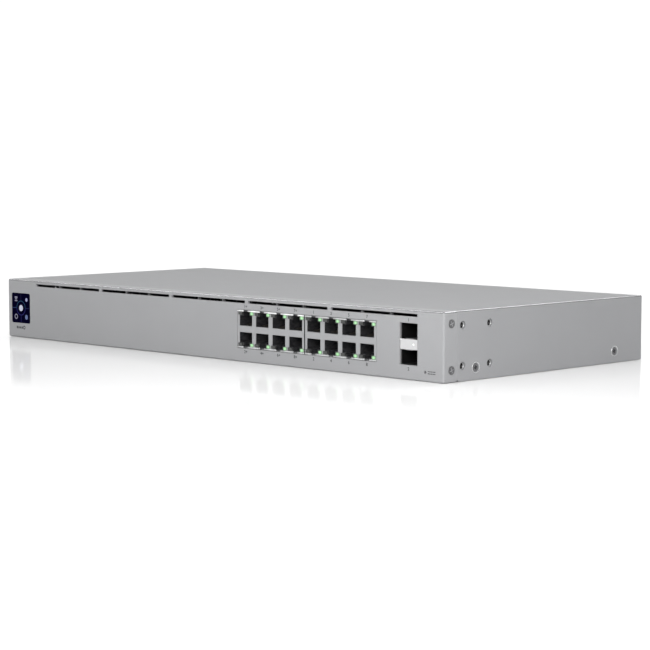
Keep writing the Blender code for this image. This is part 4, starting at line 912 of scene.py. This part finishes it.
def make_screen():
    """What the screen shows: a round mark in a ring, cross lines and four plain signs."""
    low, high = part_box("screen_glass")
    x, z = (low.x + high.x) / 2, (low.z + high.z) / 2
    bm = bmesh.new()
    outline = rounded_rectangle(2 * SCREEN_HALF, 2 * SCREEN_HALF, SCREEN_CORNER, 6)
    inner = 1 - SCREEN_CHAMFER / SCREEN_HALF
    layers = ((inner, SCREEN_FRONT), (1, SCREEN_FRONT + SCREEN_CHAMFER), (1, high.y))
    add_layers(bm, outline, (x, z), layers)
    pane = make_piece("screen_pane", bm, GLASS)
    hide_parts("screen_glass")
    face = (SCREEN_FRONT - INK_RISE, SCREEN_FRONT)

    bm = bmesh.new()
    add_layers(bm, circle(DISC_RADIUS, DISC_SIDES), (x, z), ((DISC_FACE, face[0]), (1, face[1])))
    make_piece("screen_disc", bm, DISC)
    for name, material, start in (("screen_ring_top", RING_TOP, 0), ("screen_ring_low", RING_LOW, 180)):
        turns = [radians(start + RING_STEP * step) for step in range(RING_STEPS + 1)]
        outer, inner = RING_RADIUS + RING_HALF, RING_RADIUS - RING_HALF
        points = [(outer * cos(a), outer * sin(a)) for a in turns]
        points += [(inner * cos(a), inner * sin(a)) for a in reversed(turns)]
        bm = bmesh.new()
        add_plate(bm, points, (x, z), face)
        make_piece(name, bm, material)
    thin = LINE_HALF
    gap = RING_RADIUS + LINE_GAP
    end = SCREEN_HALF - LINE_END
    lines = {
        "left": (LINE_LEFT, (x - end, x - gap), (z - thin, z + thin)),
        "right": (LINE_RIGHT, (x + gap, x + end), (z - thin, z + thin)),
        "top": (LINE_TOP, (x - thin, x + thin), (z + gap, z + end)),
        "low": (RING_LOW, (x - thin, x + thin), (z - end, z - gap)),
    }
    for side, (material, across, up) in lines.items():
        bm = bmesh.new()
        add_block(bm, across, face, up)
        make_piece("screen_line_" + side, bm, material)

    left, right = x + SIGN_LEFT, x + SIGN_RIGHT
    top, bottom = z + SIGN_TOP, z + SIGN_LOW
    raised = ((SIGN_FACE, face[0]), (1, face[1]))
    bm = bmesh.new()
    for step, (width, tall) in enumerate(LIST_BARS):
        outline = rounded_rectangle(width * MM, tall * MM, LIST_CORNER)
        add_plate(bm, outline, (left, top + (LIST_FIRST - LIST_PITCH * step) * MM), face)
    make_piece("screen_sign_list", bm, ICON_GREY)
    bm = bmesh.new()
    add_layers(bm, circle(DOT_RADIUS, SIGN_SIDES), (right + DOT_SHIFT, top), raised)
    make_piece("screen_sign_dot", bm, ICON_LILAC)
    bm = bmesh.new()
    add_ring(bm, *RING_SIGN, (left, bottom), face, SIGN_SIDES)
    make_piece("screen_sign_ring", bm, ICON_GREY)
    bm = bmesh.new()
    add_layers(bm, rounded_rectangle(*SHIELD_SIGN), (right, bottom), raised)
    make_piece("screen_sign_shield", bm, ICON_BLUE)


# ---------------------------------------------------------------- rear


def make_rear():
    """Blank rating label, the earth sign by the ground screw and the dust screens behind the vents."""
    bm = bmesh.new()
    add_plate(bm, rounded_rectangle(*LABEL_SIZE), LABEL_SPOT, REAR_FACE)
    make_piece("rear_label", bm, LABEL)
    x, z = middle_of("ground_screw").x, middle_of("ground_screw").z + EARTH_RISE
    thin = EARTH_HALF
    bm = bmesh.new()
    add_block(bm, (x - thin, x + thin), REAR_FACE, (z, z + EARTH_STEM))
    for step, half in enumerate(EARTH_BARS):
        level = z - (EARTH_FIRST + EARTH_PITCH * step) * MM
        add_block(bm, (x - half * MM, x + half * MM), REAR_FACE, (level - thin, level + thin))
    make_piece("earth_sign", bm, INK)
    for index in range(REAR_VENTS):
        middle = (REAR_VENT_FIRST + index * REAR_VENT_PITCH, REAR_VENT_MIDDLE)
        bm = bmesh.new()
        add_plate(bm, rounded_rectangle(*REAR_VENT_SCREEN), middle, REAR_VENT_DEPTHS)
        make_piece(f"vent_screen_{index + 1}", bm, PLASTIC)


# ---------------------------------------------------------------- studio


def add_light(name, spot, target, size, power):
    """A softbox that looks at a point."""
    light = bpy.data.lights.new(name, "AREA")
    light.shape = "RECTANGLE"
    light.size, light.size_y = size
    light.energy = power
    obj = bpy.data.objects.new(name, light)
    bpy.context.scene.collection.objects.link(obj)
    obj.location = spot
    obj.rotation_euler = (Vector(target) - Vector(spot)).to_track_quat("-Z", "Y").to_euler()
    return obj


def make_camera(scene):
    """The picture's camera."""
    camera = bpy.data.objects.new("camera", bpy.data.cameras.new("camera"))
    scene.collection.objects.link(camera)
    camera.location = CAMERA_SPOT
    camera.rotation_euler = (radians(90 - CAMERA_TILT), 0, radians(CAMERA_TURN))
    camera.data.lens = CAMERA_LENS
    camera.data.sensor_width = SENSOR
    scene.camera = camera


def make_room(scene):
    """White surround: lamps by direction, and a plain backdrop that only the camera sees."""
    world = bpy.data.worlds.new("studio")
    world.use_nodes = True
    tree = world.node_tree
    place = tree.nodes.new("ShaderNodeTexCoord")
    lamps = []
    for way, edge, high in ROOM:
        facing = tree.nodes.new("ShaderNodeVectorMath")
        facing.operation = "DOT_PRODUCT"
        facing.inputs[1].default_value = way
        tree.links.new(place.outputs["Generated"], facing.inputs[0])
        lamps.append(ramp(tree, facing.outputs["Value"], *edge, ROOM_BASE, high, smooth=True))
    seen = tree.nodes.new("ShaderNodeLightPath")
    plain = tree.nodes.new("ShaderNodeMix")
    plain.inputs["B"].default_value = BACKDROP
    tree.links.new(seen.outputs["Is Camera Ray"], plain.inputs["Factor"])
    tree.links.new(highest(tree, lamps), plain.inputs["A"])
    tree.links.new(plain.outputs["Result"], tree.nodes["Background"].inputs["Strength"])
    tree.nodes["Background"].inputs["Color"].default_value = WHITE
    scene.world = world


def make_floor(scene):
    """Glossy white floor, with light of its own far from the object."""
    bm = bmesh.new()
    bmesh.ops.create_grid(bm, x_segments=1, y_segments=1, size=FLOOR_REACH)
    mesh = bpy.data.meshes.new("floor")
    bm.to_mesh(mesh)
    bm.free()
    floor = bpy.data.objects.new("floor", mesh)
    scene.collection.objects.link(floor)
    floor.location.z = GROUND - FLOOR_DROP
    material, tree, shader = new_material("floor_white")
    shader.inputs["Base Color"].default_value = FLOOR_WHITE
    shader.inputs["Roughness"].default_value = FLOOR_ROUGH
    shader.inputs["IOR"].default_value = FLOOR_IOR
    fade = ramp(tree, length_from_origin(tree), *FLOOR_FADE, 0, FLOOR_FAR, smooth=True)
    tree.links.new(fade, shader.inputs["Emission Strength"])
    shader.inputs["Emission Color"].default_value = WHITE
    mesh.materials.append(material)


def make_studio():
    """Camera, white surround, floor and softboxes."""
    scene = bpy.context.scene
    make_camera(scene)
    make_room(scene)
    scene.view_settings.view_transform = "Standard"
    scene.view_settings.look = "None"
    make_floor(scene)
    for name, spot, target, size, power in SOFTBOXES:
        light = add_light(name, spot, target, size, power)
        light.visible_glossy = name != OVERHEAD


dress_frame()
make_case()
make_ear_threads()
make_recesses()
make_print()
make_sockets()
make_bays()
make_screen()
make_rear()
make_studio()
